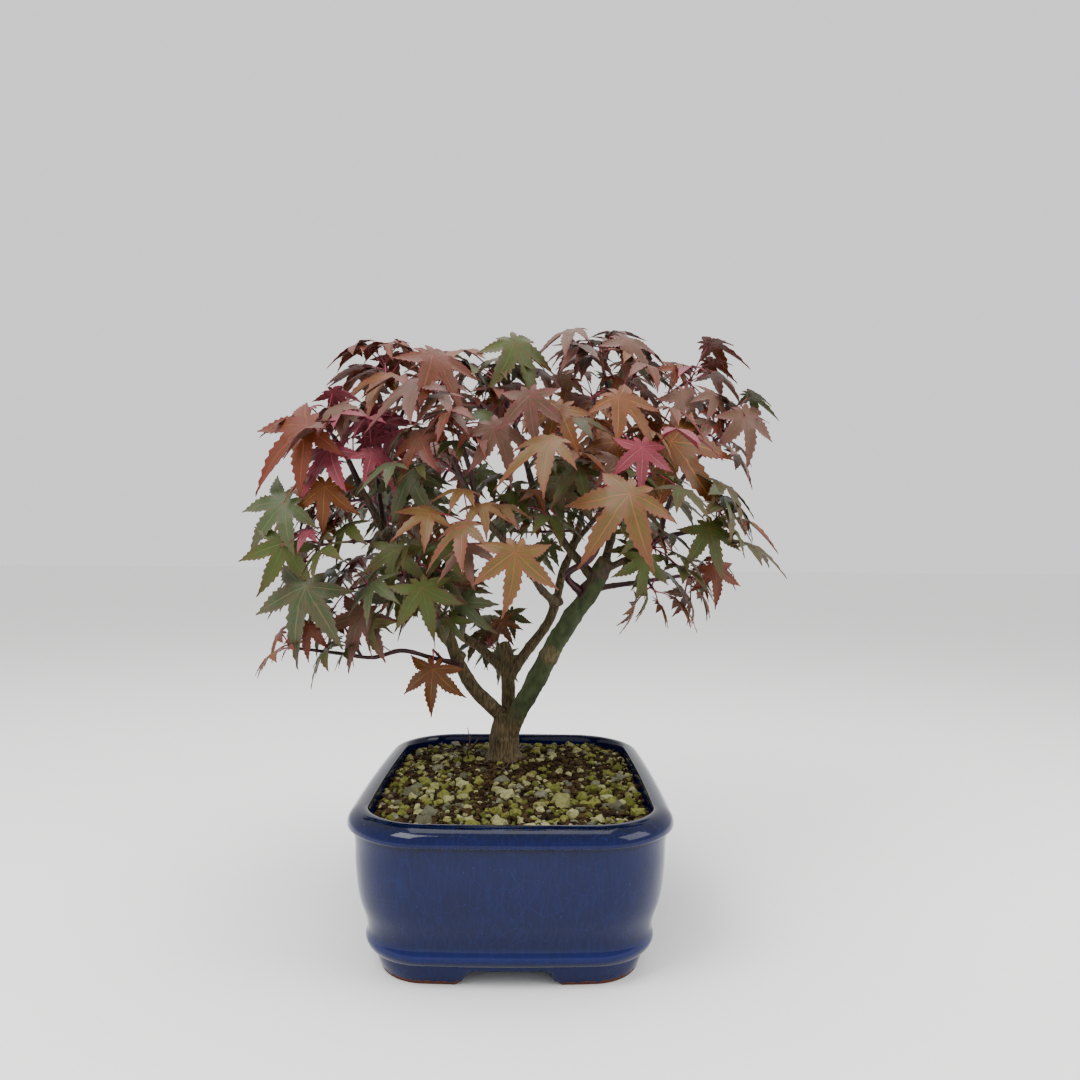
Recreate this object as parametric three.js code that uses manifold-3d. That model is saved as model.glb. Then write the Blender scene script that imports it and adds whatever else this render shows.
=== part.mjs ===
// A small Japanese maple grown as a bonsai in a glazed stoneware pot.
// Units are millimetres and +Z is up. The pot stands on z = 0, with its short side facing -Y.
import * as THREE from "three";
import { mergeVertices } from "three/addons/utils/BufferGeometryUtils.js";
import Module from "manifold-3d";

const wasm = await Module();
wasm.setup();

// ---- Pot
const POT_WIDTH = 140;
const POT_DEPTH = 182;
const POT_HEIGHT = 66;
const CORNER_RADIUS = 34;
const SIDE_BOW = 0.033;          // how far the sides swell between the corners, as a share of the half width
const RIM_HEIGHT = 7.5;
const RIM_WIDTH = 8.6;
const WALL = 6;
const FLOOR = 6;
const FOOT_HEIGHT = 6.8;
const FOOT_INSET = 14.9;         // outer face of a foot, in from the rim's outer edge
const FOOT_THICKNESS = 11;
const FRONT_ARCH = 42;           // width of the arches between the feet on the short sides
const SIDE_ARCH = 84;            // and on the long sides
const DRAIN_DIAMETER = 18;
const DRAIN_SPACING = 84;        // centre to centre
const CORNER_STEPS = 5;
const SIDE_STEPS = 3;

// ---- Drainage mesh and the wire clip that holds it
const MESH_SIZE = 24;
const MESH_THICKNESS = 1;
const MESH_OPENINGS = 3;         // along each side, an odd number so that one lies in the middle
const MESH_STRAND = 1.6;
const CLIP_WIRE = 1.5;
const CLIP_FOOT = 12;            // how far each wire end is bent out under the pot
const CLIP_PLAY = 0.783333;      // between a leg of the clip and the wall of the drainage hole

// ---- Soil
const SOIL_DROP = 6;             // from the top of the rim down to the soil
const SOIL_MOUND = 2.2;          // how far it rises round the trunk

// ---- Tree. Its own frame has its origin on the soil, at the foot of the trunk.
const TRUNK_X = -6;              // from the middle of the pot
const TRUNK_Y = 39;
const TREE_SCALE = 1;            // spreads or tightens the whole limb layout
const ROOT_DEPTH = 15;
const TWIG_RADIUS = 0.85;
const TWIG_TIP_RADIUS = 0.5;
const PETIOLE_RADIUS = 0.45;
const LEAF_THICKNESS = 0.9;      // at the hub; the edge is sharp
const LEAF_DROOP = 0.24;         // fall of a lobe's tip, as a share of its length
const GAP = 0.35;                // clearance between neighbouring pieces

// Each limb: the radius at its two ends, then the points that it grows through.
const LIMBS = {
  trunk: [8.2, 6.9, [0, 0, -6], [0, 0, 4], [0, 0, 15], [1, 0, 28]],
  left_limb: [4.2, 1.1, [1, 0, 22], [-6, -2, 30], [-16, -4, 40], [-23, -6, 52], [-26, -7, 58],
    [-31, -9, 71], [-42, -13, 88], [-53, -19, 106], [-62, -25, 124], [-72, -31, 144], [-79, -35, 160],
    [-85, -39, 170]],
  left_twig: [1.3, 0.8, [-25, -7, 54], [-39, -12, 58], [-53, -18, 62], [-67, -24, 59], [-83, -31, 62],
    [-101, -39, 65]],
  left_upright: [1.5, 0.9, [-61, -24, 123], [-65, -19, 140], [-67, -14, 156], [-61, -9, 175],
    [-55, -6, 194], [-62, -5, 204]],
  middle_limb: [4.1, 3.5, [2, 2, 22], [2, 5, 33], [1, 7, 50], [0, 8, 59]],
  middle_left: [2.8, 1.0, [1, 7, 48], [-14, 13, 60], [-32, 19, 72], [-47, 27, 92], [-63, 35, 115],
    [-77, 39, 141]],
  middle_right: [3.0, 1.1, [2, 7, 46], [14, 11, 62], [24, 13, 76], [28, 15, 87], [31, 19, 101],
    [39, 27, 121], [45, 33, 148], [48, 37, 175], [50, 39, 202]],
  green_limb: [5.4, 4.6, [4, -2, 21], [14, -6, 40], [25, -11, 62], [34, -15, 78], [47, -19, 97],
    [51, -21, 107]],
  maroon_shoot: [1.9, 1.2, [40, -17, 93], [32, -25, 102], [44, -31, 111], [49, -36, 121],
    [55, -42, 132], [62, -47, 142], [66, -51, 150]],
  right_limb: [2.1, 1.0, [42, -17, 95], [51, -21, 104], [67, -27, 113], [77, -31, 120], [93, -35, 125],
    [104, -37, 129]],
  right_low: [1.7, 0.9, [46, -18, 95], [64, -5, 97], [78, -1, 99], [99, 5, 102]],
  centre_limb: [2.4, 1.0, [47, -18, 99], [33, -17, 116], [21, -17, 134], [16, -17, 142], [11, -15, 159],
    [5, -13, 178], [-4, -13, 201]],
  front_limb: [2.2, 1.4, [28, 14, 86], [21, -1, 92], [13, -17, 103], [-1, -35, 120], [-12, -45, 133],
    [-18, -51, 144], [-25, -57, 158]],
  front_fork: [1.4, 1.0, [-11, -44, 132], [-14, -47, 140], [-16, -49, 151], [-19, -51, 161],
    [-22, -53, 170]],
  right_upright: [2.4, 1.0, [51, -20, 104], [57, -9, 126], [62, -1, 148], [61, 7, 174], [58, 11, 193],
    [53, 13, 218]],
  right_high: [1.5, 0.9, [78, -31, 120], [84, -25, 139], [93, -19, 154], [101, -15, 164],
    [113, -13, 176]],
  crown_right: [1.4, 0.9, [61, 7, 172], [73, 13, 186], [87, 17, 201], [99, 17, 210]],
  back_right: [1.8, 1.0, [38, 26, 119], [54, 46, 138], [64, 60, 158], [68, 70, 178]],
  back_left: [1.8, 1.0, [-46, 26, 91], [-54, 46, 112], [-50, 62, 138], [-40, 70, 164]],
};

// Roots that show at the soil and run down into it.
const ROOTS = [[17, -9, -7], [-15, -12, -7], [-18, 8, -7], [6, 18, -7], [19, 9, -8]];

// Each leaf colour, and its roughness.
const TONES = {
  olive: "#4f5a24",
  grey_green: "#656b4a",
  rose: "#b5546a",
  mauve: "#8f6060",
  salmon: "#b9785f",
  orange: "#9a5a1e",
  rust: "#8a3a22",
};

// Each leafy shoot: its limb, how far along that limb it starts, its tip, its tone, the length of its
// leaves from hub to point, how many pairs of leaves it carries, and its prominent leaves. A prominent
// leaf has its hub, the direction of its middle lobe in degrees up from +X as seen from the front, how
// far it faces the front (0 lies flat, 1 is upright), its length and its tone.
const SHOOTS = {
  low_left_end: ["left_twig", 1, [-105, -41, 67], "rust", 15, 1,
    [[-95, -43, 76], 265, 0.8, 17, "rust"]],
  low_left_middle: ["left_twig", 0.62, [-76, -33, 69], "olive", 22, 2],
  left_low: ["left_limb", 0.55, [-79, -35, 93], "grey_green", 25, 2,
    [[-94, -51, 96], 250, 0.8, 38, "grey_green"], [[-69, -39, 82], 245, 0.9, 29, "mauve"]],
  left_outer: ["left_limb", 0.66, [-92, -39, 116], "olive", 22, 2,
    [[-104, -47, 115], 250, 0.8, 28, "olive"], [[-92, -52, 121], 200, 0.5, 15, "rose"]],
  left_high: ["left_limb", 0.8, [-90, -39, 134], "orange", 23, 2,
    [[-104, -47, 134], 225, 0.7, 31, "grey_green"], [[-86, -35, 140], 268, 0.7, 25, "orange"]],
  left_tip: ["left_limb", 1, [-88, -43, 174], "rose", 24, 2,
    [[-83, -53, 162], 238, 0.5, 29, "rose"], [[-93, -57, 172], 215, 0.5, 38, "rust"]],
  left_inner: ["left_limb", 0.93, [-65, -41, 166], "rose", 21, 2,
    [[-63, -55, 160], 315, 0.4, 22, "rose"]],
  left_face: ["left_limb", 0.62, [-45, -39, 106], "olive", 20, 2,
    [[-52, -47, 114], 262, 0.6, 25, "olive"]],
  left_under: ["left_limb", 0.47, [-34, -31, 89], "olive", 20, 1,
    [[-38, -57, 96], 288, 0.8, 27, "olive"]],
  hanging: ["left_twig", 0.1, [-37, -19, 63], "orange", 16, 0,
    [[-36, -21, 53], 262, 0.9, 26, "orange"]],
  left_middle: ["left_upright", 0.35, [-52, -31, 141], "olive", 21, 2,
    [[-46, -41, 151], 242, 0.7, 29, "grey_green"]],
  left_top: ["left_upright", 1, [-67, -1, 216], "rust", 24, 2,
    [[-61, -31, 202], 200, 0.4, 31, "orange"]],
  left_crown: ["left_upright", 0.82, [-35, -35, 192], "rust", 24, 2,
    [[-39, -69, 191], 216, 0.4, 33, "mauve"], [[-33, -49, 199], 310, 0.3, 34, "rust"]],
  left_shoulder: ["left_upright", 0.6, [-75, -17, 186], "mauve", 22, 2,
    [[-80, -33, 183], 222, 0.4, 23, "mauve"]],
  front_cut: ["front_limb", 0.9, [-36, -62, 160], "olive", 20, 1,
    [[-38, -67, 166], 242, 0.5, 24, "rust"]],
  front_tip: ["front_fork", 1, [-19, -57, 174], "mauve", 22, 2,
    [[-4, -67, 171], 300, 0.5, 28, "mauve"], [[-10, -49, 180], 320, 0.5, 24, "grey_green"]],
  front_low: ["front_limb", 0.66, [-18, -73, 127], "salmon", 20, 1,
    [[-15, -93, 124], 214, 0.5, 25, "salmon"]],
  front_star: ["front_limb", 0.5, [5, -83, 118], "salmon", 18, 0,
    [[7, -109, 113], 266, 0.8, 27, "salmon"]],
  centre_low: ["centre_limb", 0.4, [10, -33, 136], "olive", 19, 1,
    [[6, -37, 142], 300, 0.5, 21, "olive"]],
  centre_left: ["centre_limb", 0.72, [-15, -25, 190], "orange", 22, 2],
  centre_top: ["centre_limb", 1, [-5, -13, 205], "olive", 24, 1,
    [[-20, -27, 217], 190, 0.2, 33, "orange"], [[4, -33, 219], 302, 0.5, 34, "olive"]],
  centre_face: ["centre_limb", 0.6, [24, -51, 170], "orange", 22, 1,
    [[26, -71, 179], 240, 0.5, 27, "orange"], [[22, -83, 160], 205, 0.4, 31, "salmon"],
    [[12, -57, 178], 275, 0.5, 24, "mauve"]],
  maroon_tip: ["maroon_shoot", 1, [66, -57, 152], "salmon", 22, 1,
    [[62, -85, 160], 272, 0.3, 22, "rose"], [[76, -83, 169], 350, 0.2, 24, "rose"]],
  maroon_side: ["maroon_shoot", 0.5, [45, -62, 145], "olive", 21, 1,
    [[55, -100, 138], 230, 0.6, 37, "salmon"]],
  right_face: ["right_upright", 0.6, [55, -37, 178], "orange", 22, 2,
    [[53, -69, 185], 315, 0.5, 31, "orange"]],
  right_top: ["right_upright", 1, [51, 11, 222], "mauve", 25, 2,
    [[35, -17, 231], 200, 0.3, 26, "mauve"], [[62, -15, 226], 318, 0.4, 30, "mauve"]],
  right_crown: ["right_upright", 0.8, [70, -5, 212], "orange", 23, 2],
  right_shoulder: ["crown_right", 1, [102, 11, 210], "rust", 23, 2,
    [[100, 1, 216], 185, 0.2, 22, "rose"], [[91, -25, 195], 300, 0.5, 27, "mauve"]],
  right_end: ["right_high", 1, [114, -17, 177], "mauve", 22, 2,
    [[122, -29, 185], 286, 0.5, 28, "mauve"]],
  right_hanging: ["right_high", 0.5, [74, -40, 168], "orange", 22, 1,
    [[80, -55, 167], 310, 0.6, 42, "orange"]],
  right_out: ["right_limb", 1, [107, -39, 130], "olive", 24, 2,
    [[99, -51, 126], 290, 0.6, 26, "olive"]],
  right_inner: ["right_limb", 0.55, [73, -43, 116], "olive", 20, 2,
    [[68, -53, 111], 266, 0.5, 21, "olive"]],
  low_right_end: ["right_low", 1, [102, 5, 100], "rust", 20, 2,
    [[110, -15, 106], 280, 0.6, 21, "rust"]],
  low_right: ["right_low", 0.6, [80, -9, 93], "olive", 19, 2],
  right_middle: ["right_upright", 0.35, [80, 7, 143], "olive", 22, 2],
  centre_right: ["centre_limb", 0.32, [31, -27, 140], "olive", 20, 1,
    [[28, -43, 146], 262, 0.5, 21, "olive"]],
  middle_face: ["middle_right", 0.66, [33, 13, 156], "olive", 20, 1,
    [[32, 1, 161], 272, 0.5, 19, "olive"]],
  stub_shoot: ["middle_left", 0.15, [-5, 31, 63], "olive", 17, 2,
    [[2, 27, 79], 280, 0.6, 17, "olive"]],
  back_left_tip: ["middle_left", 1, [-81, 41, 144], "olive", 23, 2],
  back_left_low: ["middle_left", 0.6, [-69, 45, 100], "olive", 22, 2],
  back_left_in: ["middle_left", 0.42, [-36, 39, 96], "olive", 20, 2],
  back_left_up: ["middle_left", 0.8, [-58, 27, 138], "grey_green", 22, 2],
  far_left_tip: ["back_left", 1, [-36, 74, 168], "rust", 24, 2],
  far_left_low: ["back_left", 0.6, [-66, 68, 132], "olive", 22, 2],
  far_left_up: ["back_left", 0.9, [-62, 50, 168], "mauve", 23, 2],
  far_right_tip: ["back_right", 1, [70, 74, 182], "rust", 24, 2],
  far_right_low: ["back_right", 0.5, [80, 44, 142], "olive", 23, 2],
  far_right_in: ["back_right", 0.8, [42, 68, 162], "olive", 23, 2],
  back_right_top: ["middle_right", 1, [50, 42, 207], "orange", 24, 2],
  back_right_in: ["middle_right", 0.8, [24, 45, 176], "olive", 22, 2],
  back_middle: ["middle_right", 0.55, [4, 47, 126], "olive", 22, 2],
  back_centre: ["centre_limb", 0.8, [8, 15, 194], "rust", 23, 2],
};

// ---- Solids

function solidOf(geometry) {
  const bare = geometry.clone();
  bare.deleteAttribute("normal");
  bare.deleteAttribute("uv");
  const merged = mergeVertices(bare, 1e-5);
  return new wasm.Manifold(new wasm.Mesh({
    numProp: 3,
    vertProperties: new Float32Array(merged.attributes.position.array),
    triVerts: new Uint32Array(merged.index.array),
  }));
}

function geometryOf(solid) {
  const mesh = solid.getMesh();
  const geometry = new THREE.BufferGeometry();
  geometry.setAttribute("position", new THREE.BufferAttribute(mesh.vertProperties, 3));
  geometry.setIndex(new THREE.BufferAttribute(mesh.triVerts, 1));
  const flat = geometry.toNonIndexed();
  flat.computeVertexNormals();
  return flat;
}

// Skins a row of rings of equal length, counter-clockwise about the way they advance, and caps both ends.
function loft(rings) {
  const count = rings[0].length;
  const points = rings.flat();
  const faces = [];
  for (let r = 0; r + 1 < rings.length; r++) {
    for (let j = 0; j < count; j++) {
      const a = r * count + j;
      const b = r * count + ((j + 1) % count);
      faces.push(a, b, b + count, a, b + count, a + count);
    }
  }
  const middle = (ring) => ring.reduce((sum, p) => sum.add(p), new THREE.Vector3()).divideScalar(count);
  const last = (rings.length - 1) * count;
  const first = points.push(middle(rings[0])) - 1;
  const final = points.push(middle(rings[rings.length - 1])) - 1;
  for (let j = 0; j < count; j++) {
    const next = (j + 1) % count;
    faces.push(first, next, j, final, last + j, last + next);
  }
  const geometry = new THREE.BufferGeometry().setFromPoints(points);
  geometry.setIndex(faces);
  return geometry;
}

// A tapered round tube along a curve. Its far end is drawn out by the amount given.
function tube(curve, startRadius, endRadius, sides, steps, extra = 0) {
  const frames = curve.computeFrenetFrames(steps, false);
  const rings = [];
  for (let i = 0; i <= steps; i++) {
    const centre = curve.getPointAt(i / steps);
    if (i === steps) centre.addScaledVector(frames.tangents[i], extra);
    const radius = THREE.MathUtils.lerp(startRadius, endRadius, i / steps);
    const ring = [];
    for (let j = 0; j < sides; j++) {
      const angle = (j / sides) * 2 * Math.PI;
      ring.push(centre.clone()
        .addScaledVector(frames.normals[i], radius * Math.cos(angle))
        .addScaledVector(frames.binormals[i], radius * Math.sin(angle)));
    }
    rings.push(ring);
  }
  return loft(rings);
}

// ---- Pot

const SOIL_LEVEL = POT_HEIGHT - SOIL_DROP;
const FLOOR_LEVEL = FOOT_HEIGHT + FLOOR;
const RIM_EDGE = POT_HEIGHT - RIM_HEIGHT;

// The pot's plan at a distance in from the rim's outer edge: a round-cornered rectangle with swollen sides.
function planRing(inset, height) {
  const halfWidth = POT_WIDTH / 2 - inset;
  const halfDepth = POT_DEPTH / 2 - inset;
  const radius = Math.max(CORNER_RADIUS - inset, 2);
  const ring = [];
  const corners = [[1, -1, -90], [1, 1, 0], [-1, 1, 90], [-1, -1, 180]];
  corners.forEach(([sx, sy, start], index) => {
    const centre = [sx * (halfWidth - radius), sy * (halfDepth - radius)];
    for (let i = 0; i <= CORNER_STEPS; i++) {
      const angle = THREE.MathUtils.degToRad(start + (90 * i) / CORNER_STEPS);
      ring.push([centre[0] + radius * Math.cos(angle), centre[1] + radius * Math.sin(angle)]);
    }
    const [nx, ny] = corners[(index + 1) % 4];
    const from = ring[ring.length - 1];
    const turn = THREE.MathUtils.degToRad(start + 90);
    const to = [nx * (halfWidth - radius) + radius * Math.cos(turn),
      ny * (halfDepth - radius) + radius * Math.sin(turn)];
    for (let i = 1; i < SIDE_STEPS; i++) {
      const t = i / SIDE_STEPS;
      ring.push([from[0] + (to[0] - from[0]) * t, from[1] + (to[1] - from[1]) * t]);
    }
  });
  return ring.map(([x, y]) => new THREE.Vector3(
    x * (1 - SIDE_BOW * (y / halfDepth) ** 2),
    y * (1 - SIDE_BOW * (x / halfWidth) ** 2),
    height,
  ));
}

// The inner wall: [inset, height] from the rim down to the floor.
const INNER_WALL = [
  [RIM_WIDTH, POT_HEIGHT - 0.6],
  [RIM_WIDTH + 0.8, RIM_EDGE],
  [RIM_WIDTH + 3, FLOOR_LEVEL + 18],
  [FOOT_INSET + WALL - 3, FLOOR_LEVEL + 4],
  [FOOT_INSET + WALL + 1, FLOOR_LEVEL],
];

function innerInset(height) {
  const above = INNER_WALL.findIndex(([, h], i) => i > 0 && height >= h);
  const [lowInset, low] = INNER_WALL[above < 0 ? INNER_WALL.length - 1 : above];
  const [highInset, high] = INNER_WALL[above < 0 ? INNER_WALL.length - 2 : above - 1];
  return THREE.MathUtils.mapLinear(height, low, high, lowInset, highInset);
}

function makePot() {
  const belly = RIM_EDGE - FOOT_HEIGHT;
  const outer = [
    [FOOT_INSET, 0], [FOOT_INSET - 2.3, FOOT_HEIGHT], [FOOT_INSET - 2.7, FOOT_HEIGHT + 1.8],
    [FOOT_INSET - 5, FOOT_HEIGHT + 2.8], [FOOT_INSET - 6.6, FOOT_HEIGHT + 6],
    [FOOT_INSET - 5.8, FOOT_HEIGHT + 9.6], [8.4, FOOT_HEIGHT + 0.27 * belly],
    [5.5, FOOT_HEIGHT + 0.44 * belly], [3.7, FOOT_HEIGHT + 0.7 * belly], [3.3, RIM_EDGE - 6],
    [2.6, RIM_EDGE - 1.6], [0.2, RIM_EDGE], [0, RIM_EDGE + 0.5],
    [0.7, POT_HEIGHT - 3.6], [3.2, POT_HEIGHT - 1.1], [RIM_WIDTH - 0.8, POT_HEIGHT],
  ];
  const rings = [...outer, ...INNER_WALL].map(([inset, height]) => planRing(inset, height));
  let pot = solidOf(loft(rings));
  const below = -5;
  const hollow = solidOf(loft([
    planRing(FOOT_INSET + FOOT_THICKNESS, below), planRing(FOOT_INSET + FOOT_THICKNESS, FOOT_HEIGHT),
  ]));
  pot = pot.subtract(hollow).subtract(arch(FRONT_ARCH, POT_DEPTH, true)).subtract(arch(SIDE_ARCH, POT_WIDTH, false));
  for (const side of [-1, 1]) {
    const drain = new THREE.CylinderGeometry(DRAIN_DIAMETER / 2, DRAIN_DIAMETER / 2, 4 * FLOOR, 20);
    drain.rotateX(Math.PI / 2).translate(0, (side * DRAIN_SPACING) / 2, FLOOR_LEVEL);
    pot = pot.subtract(solidOf(drain));
  }
  return pot;
}

// The long bar that cuts the arch between two feet, right through the pot along one axis.
function arch(width, length, alongDepth) {
  const half = width / 2;
  const round = FOOT_HEIGHT * 0.6;
  const section = new THREE.Shape();
  section.moveTo(-half, -5);
  section.lineTo(half, -5);
  section.lineTo(half, 0);
  section.quadraticCurveTo(half - round, FOOT_HEIGHT, half - 2 * round, FOOT_HEIGHT);
  section.lineTo(2 * round - half, FOOT_HEIGHT);
  section.quadraticCurveTo(round - half, FOOT_HEIGHT, -half, 0);
  const bar = new THREE.ExtrudeGeometry(section, { depth: length + 10, bevelEnabled: false, curveSegments: 4 });
  bar.translate(0, 0, -length / 2 - 5).rotateX(Math.PI / 2);
  if (!alongDepth) bar.rotateZ(Math.PI / 2);
  return solidOf(bar);
}

// ---- Drainage mesh and clips

const MESH_PITCH = (MESH_SIZE - MESH_STRAND) / MESH_OPENINGS;

function makeDrainageMesh(y) {
  const level = FLOOR_LEVEL + GAP + MESH_THICKNESS / 2;
  const plate = new THREE.BoxGeometry(MESH_SIZE, MESH_SIZE, MESH_THICKNESS).translate(0, y, level);
  const width = MESH_PITCH - MESH_STRAND;
  const openings = [];
  for (let i = 0; i < MESH_OPENINGS; i++) {
    for (let j = 0; j < MESH_OPENINGS; j++) {
      const x = (i - (MESH_OPENINGS - 1) / 2) * MESH_PITCH;
      const along = (j - (MESH_OPENINGS - 1) / 2) * MESH_PITCH;
      const opening = new THREE.BoxGeometry(width, width, 2 * MESH_THICKNESS);
      openings.push(solidOf(opening.translate(x, y + along, level)));
    }
  }
  return solidOf(plate).subtract(wasm.Manifold.union(openings));
}

// The wire lies over the mesh, goes down through two of its openings and the hole, and bends out below.
function clipRoute(y) {
  const top = FLOOR_LEVEL + GAP + MESH_THICKNESS + GAP + CLIP_WIRE / 2;
  const under = FOOT_HEIGHT - 2 * GAP - CLIP_WIRE / 2;
  const leg = (DRAIN_DIAMETER - CLIP_WIRE) / 2 - CLIP_PLAY;
  const half = [
    [0, top], [leg - CLIP_WIRE, top], [leg, top - CLIP_WIRE], [leg, under + CLIP_WIRE],
    [leg + CLIP_WIRE, under], [leg + CLIP_FOOT, under],
  ];
  const mirrored = half.slice(1).reverse().map(([x, z]) => [-x, z]);
  const points = [...mirrored, ...half].map(([x, z]) => new THREE.Vector3(x, y, z));
  return new THREE.CatmullRomCurve3(points, false, "centripetal");
}

function makeClip(y, clearance = 0) {
  return solidOf(tube(clipRoute(y), CLIP_WIRE / 2 + clearance, CLIP_WIRE / 2 + clearance, 6, 18));
}

// ---- Tree skeleton

const treePoint = ([x, y, z]) => new THREE.Vector3(x, y, z).multiplyScalar(TREE_SCALE)
  .add(new THREE.Vector3(TRUNK_X, TRUNK_Y, SOIL_LEVEL));

const limbCurves = Object.fromEntries(Object.entries(LIMBS).map(([name, [, , ...points]]) => [
  name, new THREE.CatmullRomCurve3(points.map(treePoint), false, "centripetal")]));

function makeSkeleton(clearance) {
  const limbs = Object.entries(LIMBS).map(([name, [startRadius, endRadius, ...points]]) => {
    const sides = startRadius > 3.5 ? 8 : 5;
    const steps = Math.max(3, points.length);
    return solidOf(tube(limbCurves[name], startRadius + clearance, endRadius + clearance, sides, steps, clearance));
  });
  const foot = new THREE.CatmullRomCurve3([[0, 0, -ROOT_DEPTH], [0, 0, -ROOT_DEPTH / 3], [0, 0, 4]].map(treePoint));
  limbs.push(solidOf(tube(foot, 12 + clearance, 7.8 + clearance, 10, 3, clearance)));
  for (const [x, y, z] of ROOTS) {
    const root = new THREE.CatmullRomCurve3([[0, 0, 1], [x * 0.5, y * 0.5, -1], [x, y, z]].map(treePoint));
    limbs.push(solidOf(tube(root, 4.5 + clearance, 1.6 + clearance, 6, 4, clearance)));
  }
  return wasm.Manifold.union(limbs);
}

// ---- Soil

function soilHeight(x, y) {
  const fromTrunk = Math.hypot(x - TRUNK_X, y - TRUNK_Y);
  const mound = SOIL_MOUND * Math.exp(-((fromTrunk / 34) ** 2));
  const grain = 0.5 * Math.sin(x * 0.31 + y * 0.17) * Math.cos(y * 0.23 - x * 0.11);
  return SOIL_LEVEL + mound + grain;
}

function makeSoil(rootSpace) {
  const bottom = FLOOR_LEVEL + GAP;
  const levels = [bottom, FLOOR_LEVEL + 4, FLOOR_LEVEL + 18, RIM_EDGE - 1, SOIL_LEVEL - 0.6];
  const rings = levels.map((height) => planRing(innerInset(height) + GAP + 0.1, height));
  const edge = innerInset(SOIL_LEVEL) + GAP + 0.1;
  for (const inset of [edge + 1.5, edge + 12, edge + 24, edge + 38, edge + 52]) {
    rings.push(planRing(inset, 0).map((p) => p.setZ(soilHeight(p.x, p.y))));
  }
  let soil = solidOf(loft(rings));
  for (const side of [-1, 1]) {
    const y = (side * DRAIN_SPACING) / 2;
    const pocket = new THREE.BoxGeometry(MESH_SIZE + 2 * GAP, MESH_SIZE + 2 * GAP,
      2 * (MESH_THICKNESS + 2 * GAP));
    soil = soil.subtract(solidOf(pocket.translate(0, y, bottom - GAP))).subtract(makeClip(y, GAP));
  }
  return soil.subtract(rootSpace);
}

// ---- Leaves

// One side of a maple leaf about its hub: angle from the middle lobe in degrees, and share of its length.
const LOBES = [[25, 0.33], [50, 0.86], [78, 0.27], [106, 0.52]];
const LEAF_BASE = 0.12;          // from the hub back to the notch where the stalk joins

function outlinePoint({ hub, tip, normal, length }, degrees, reach, clearance = 0) {
  const across = new THREE.Vector3().crossVectors(normal, tip);
  const angle = THREE.MathUtils.degToRad(degrees);
  const far = reach * length + clearance;
  const fall = reach > 0.4 ? -LEAF_DROOP * reach * length : 0.02 * length;
  return hub.clone()
    .addScaledVector(tip, far * Math.cos(angle))
    .addScaledVector(across, far * Math.sin(angle))
    .addScaledVector(normal, fall);
}

// Both halves of the outline: from the middle lobe to the notch, and from the notch back.
function outlineHalves(leaf, clearance) {
  const left = [[0, 1], ...LOBES].map(([angle, reach]) => outlinePoint(leaf, angle, reach, clearance));
  const right = LOBES.map(([angle, reach]) => outlinePoint(leaf, -angle, reach, clearance)).reverse();
  return [left, right];
}

function fan(faces, centre, loop, upwards) {
  loop.forEach((here, j) => {
    const next = loop[(j + 1) % loop.length];
    faces.push(centre, upwards ? here : next, upwards ? next : here);
  });
}

// The blade alone: two shallow cones, one over and one under the outline.
function bladeSolid(leaf, clearance) {
  const [left, right] = outlineHalves(leaf, clearance);
  const outline = [...left, outlinePoint(leaf, 180, LEAF_BASE, clearance), ...right];
  const points = [leaf.hub.clone().addScaledVector(leaf.normal, clearance),
    leaf.hub.clone().addScaledVector(leaf.normal, -LEAF_THICKNESS - clearance), ...outline];
  const loop = outline.map((_, j) => j + 2);
  const faces = [];
  fan(faces, 0, loop, true);
  fan(faces, 1, loop, false);
  return solidOf(new THREE.BufferGeometry().setFromPoints(points).setIndex(faces));
}

// The stalk alone, from the shoot to the notch of the blade.
function stalkSolid(leaf, clearance) {
  const radius = PETIOLE_RADIUS + clearance;
  const end = outlinePoint(leaf, 180, LEAF_BASE);
  return solidOf(tube(new THREE.LineCurve3(leaf.base, end), radius, radius, 3, 1));
}

// Blade and stalk as one skin: at the notch the blade's faces part round the end of the stalk.
function leafSolid(leaf) {
  const { hub, tip, normal, base } = leaf;
  const [left, right] = outlineHalves(leaf, 0);
  const notch = outlinePoint(leaf, 180, LEAF_BASE);
  const way = base.clone().sub(notch).normalize();
  const beside = new THREE.Vector3().crossVectors(normal, tip);
  beside.addScaledVector(way, -beside.dot(way)).normalize();
  const beneath = new THREE.Vector3().crossVectors(way, beside);
  const corners = [beside, beneath, beside.clone().negate()];
  const ringAt = (centre) => corners.map((side) => centre.clone().addScaledVector(side, PETIOLE_RADIUS));
  const points = [hub, hub.clone().addScaledVector(normal, -LEAF_THICKNESS),
    ...left, ...ringAt(notch), ...right, ...ringAt(base)];
  const leftLoop = left.map((_, j) => 2 + j);
  const joint = [0, 1, 2].map((j) => 2 + left.length + j);
  const rightLoop = right.map((_, j) => 5 + left.length + j);
  const foot = [0, 1, 2].map((j) => 5 + left.length + right.length + j);
  const faces = [];
  fan(faces, 0, [...leftLoop, joint[0], joint[2], ...rightLoop], true);
  fan(faces, 1, [...leftLoop, ...joint, ...rightLoop], false);
  for (let j = 0; j < 3; j++) {
    const k = (j + 1) % 3;
    faces.push(joint[j], joint[k], foot[k], joint[j], foot[k], foot[j]);
  }
  faces.push(foot[0], foot[1], foot[2]);
  return solidOf(new THREE.BufferGeometry().setFromPoints(points).setIndex(faces));
}

// A repeatable number from -1 to 1 for a leaf's count and one of its features.
const wander = (count, feature) => 2 * (((count * 0.618034 + feature * 0.754878) * (1 + feature * 0.37)) % 1) - 1;

const UP = new THREE.Vector3(0, 0, 1);
const CANOPY_CENTRE = treePoint([4, -8, 105]);

function settle(tip, normal) {
  tip.normalize();
  normal.addScaledVector(tip, -normal.dot(tip)).normalize();
}

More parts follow.
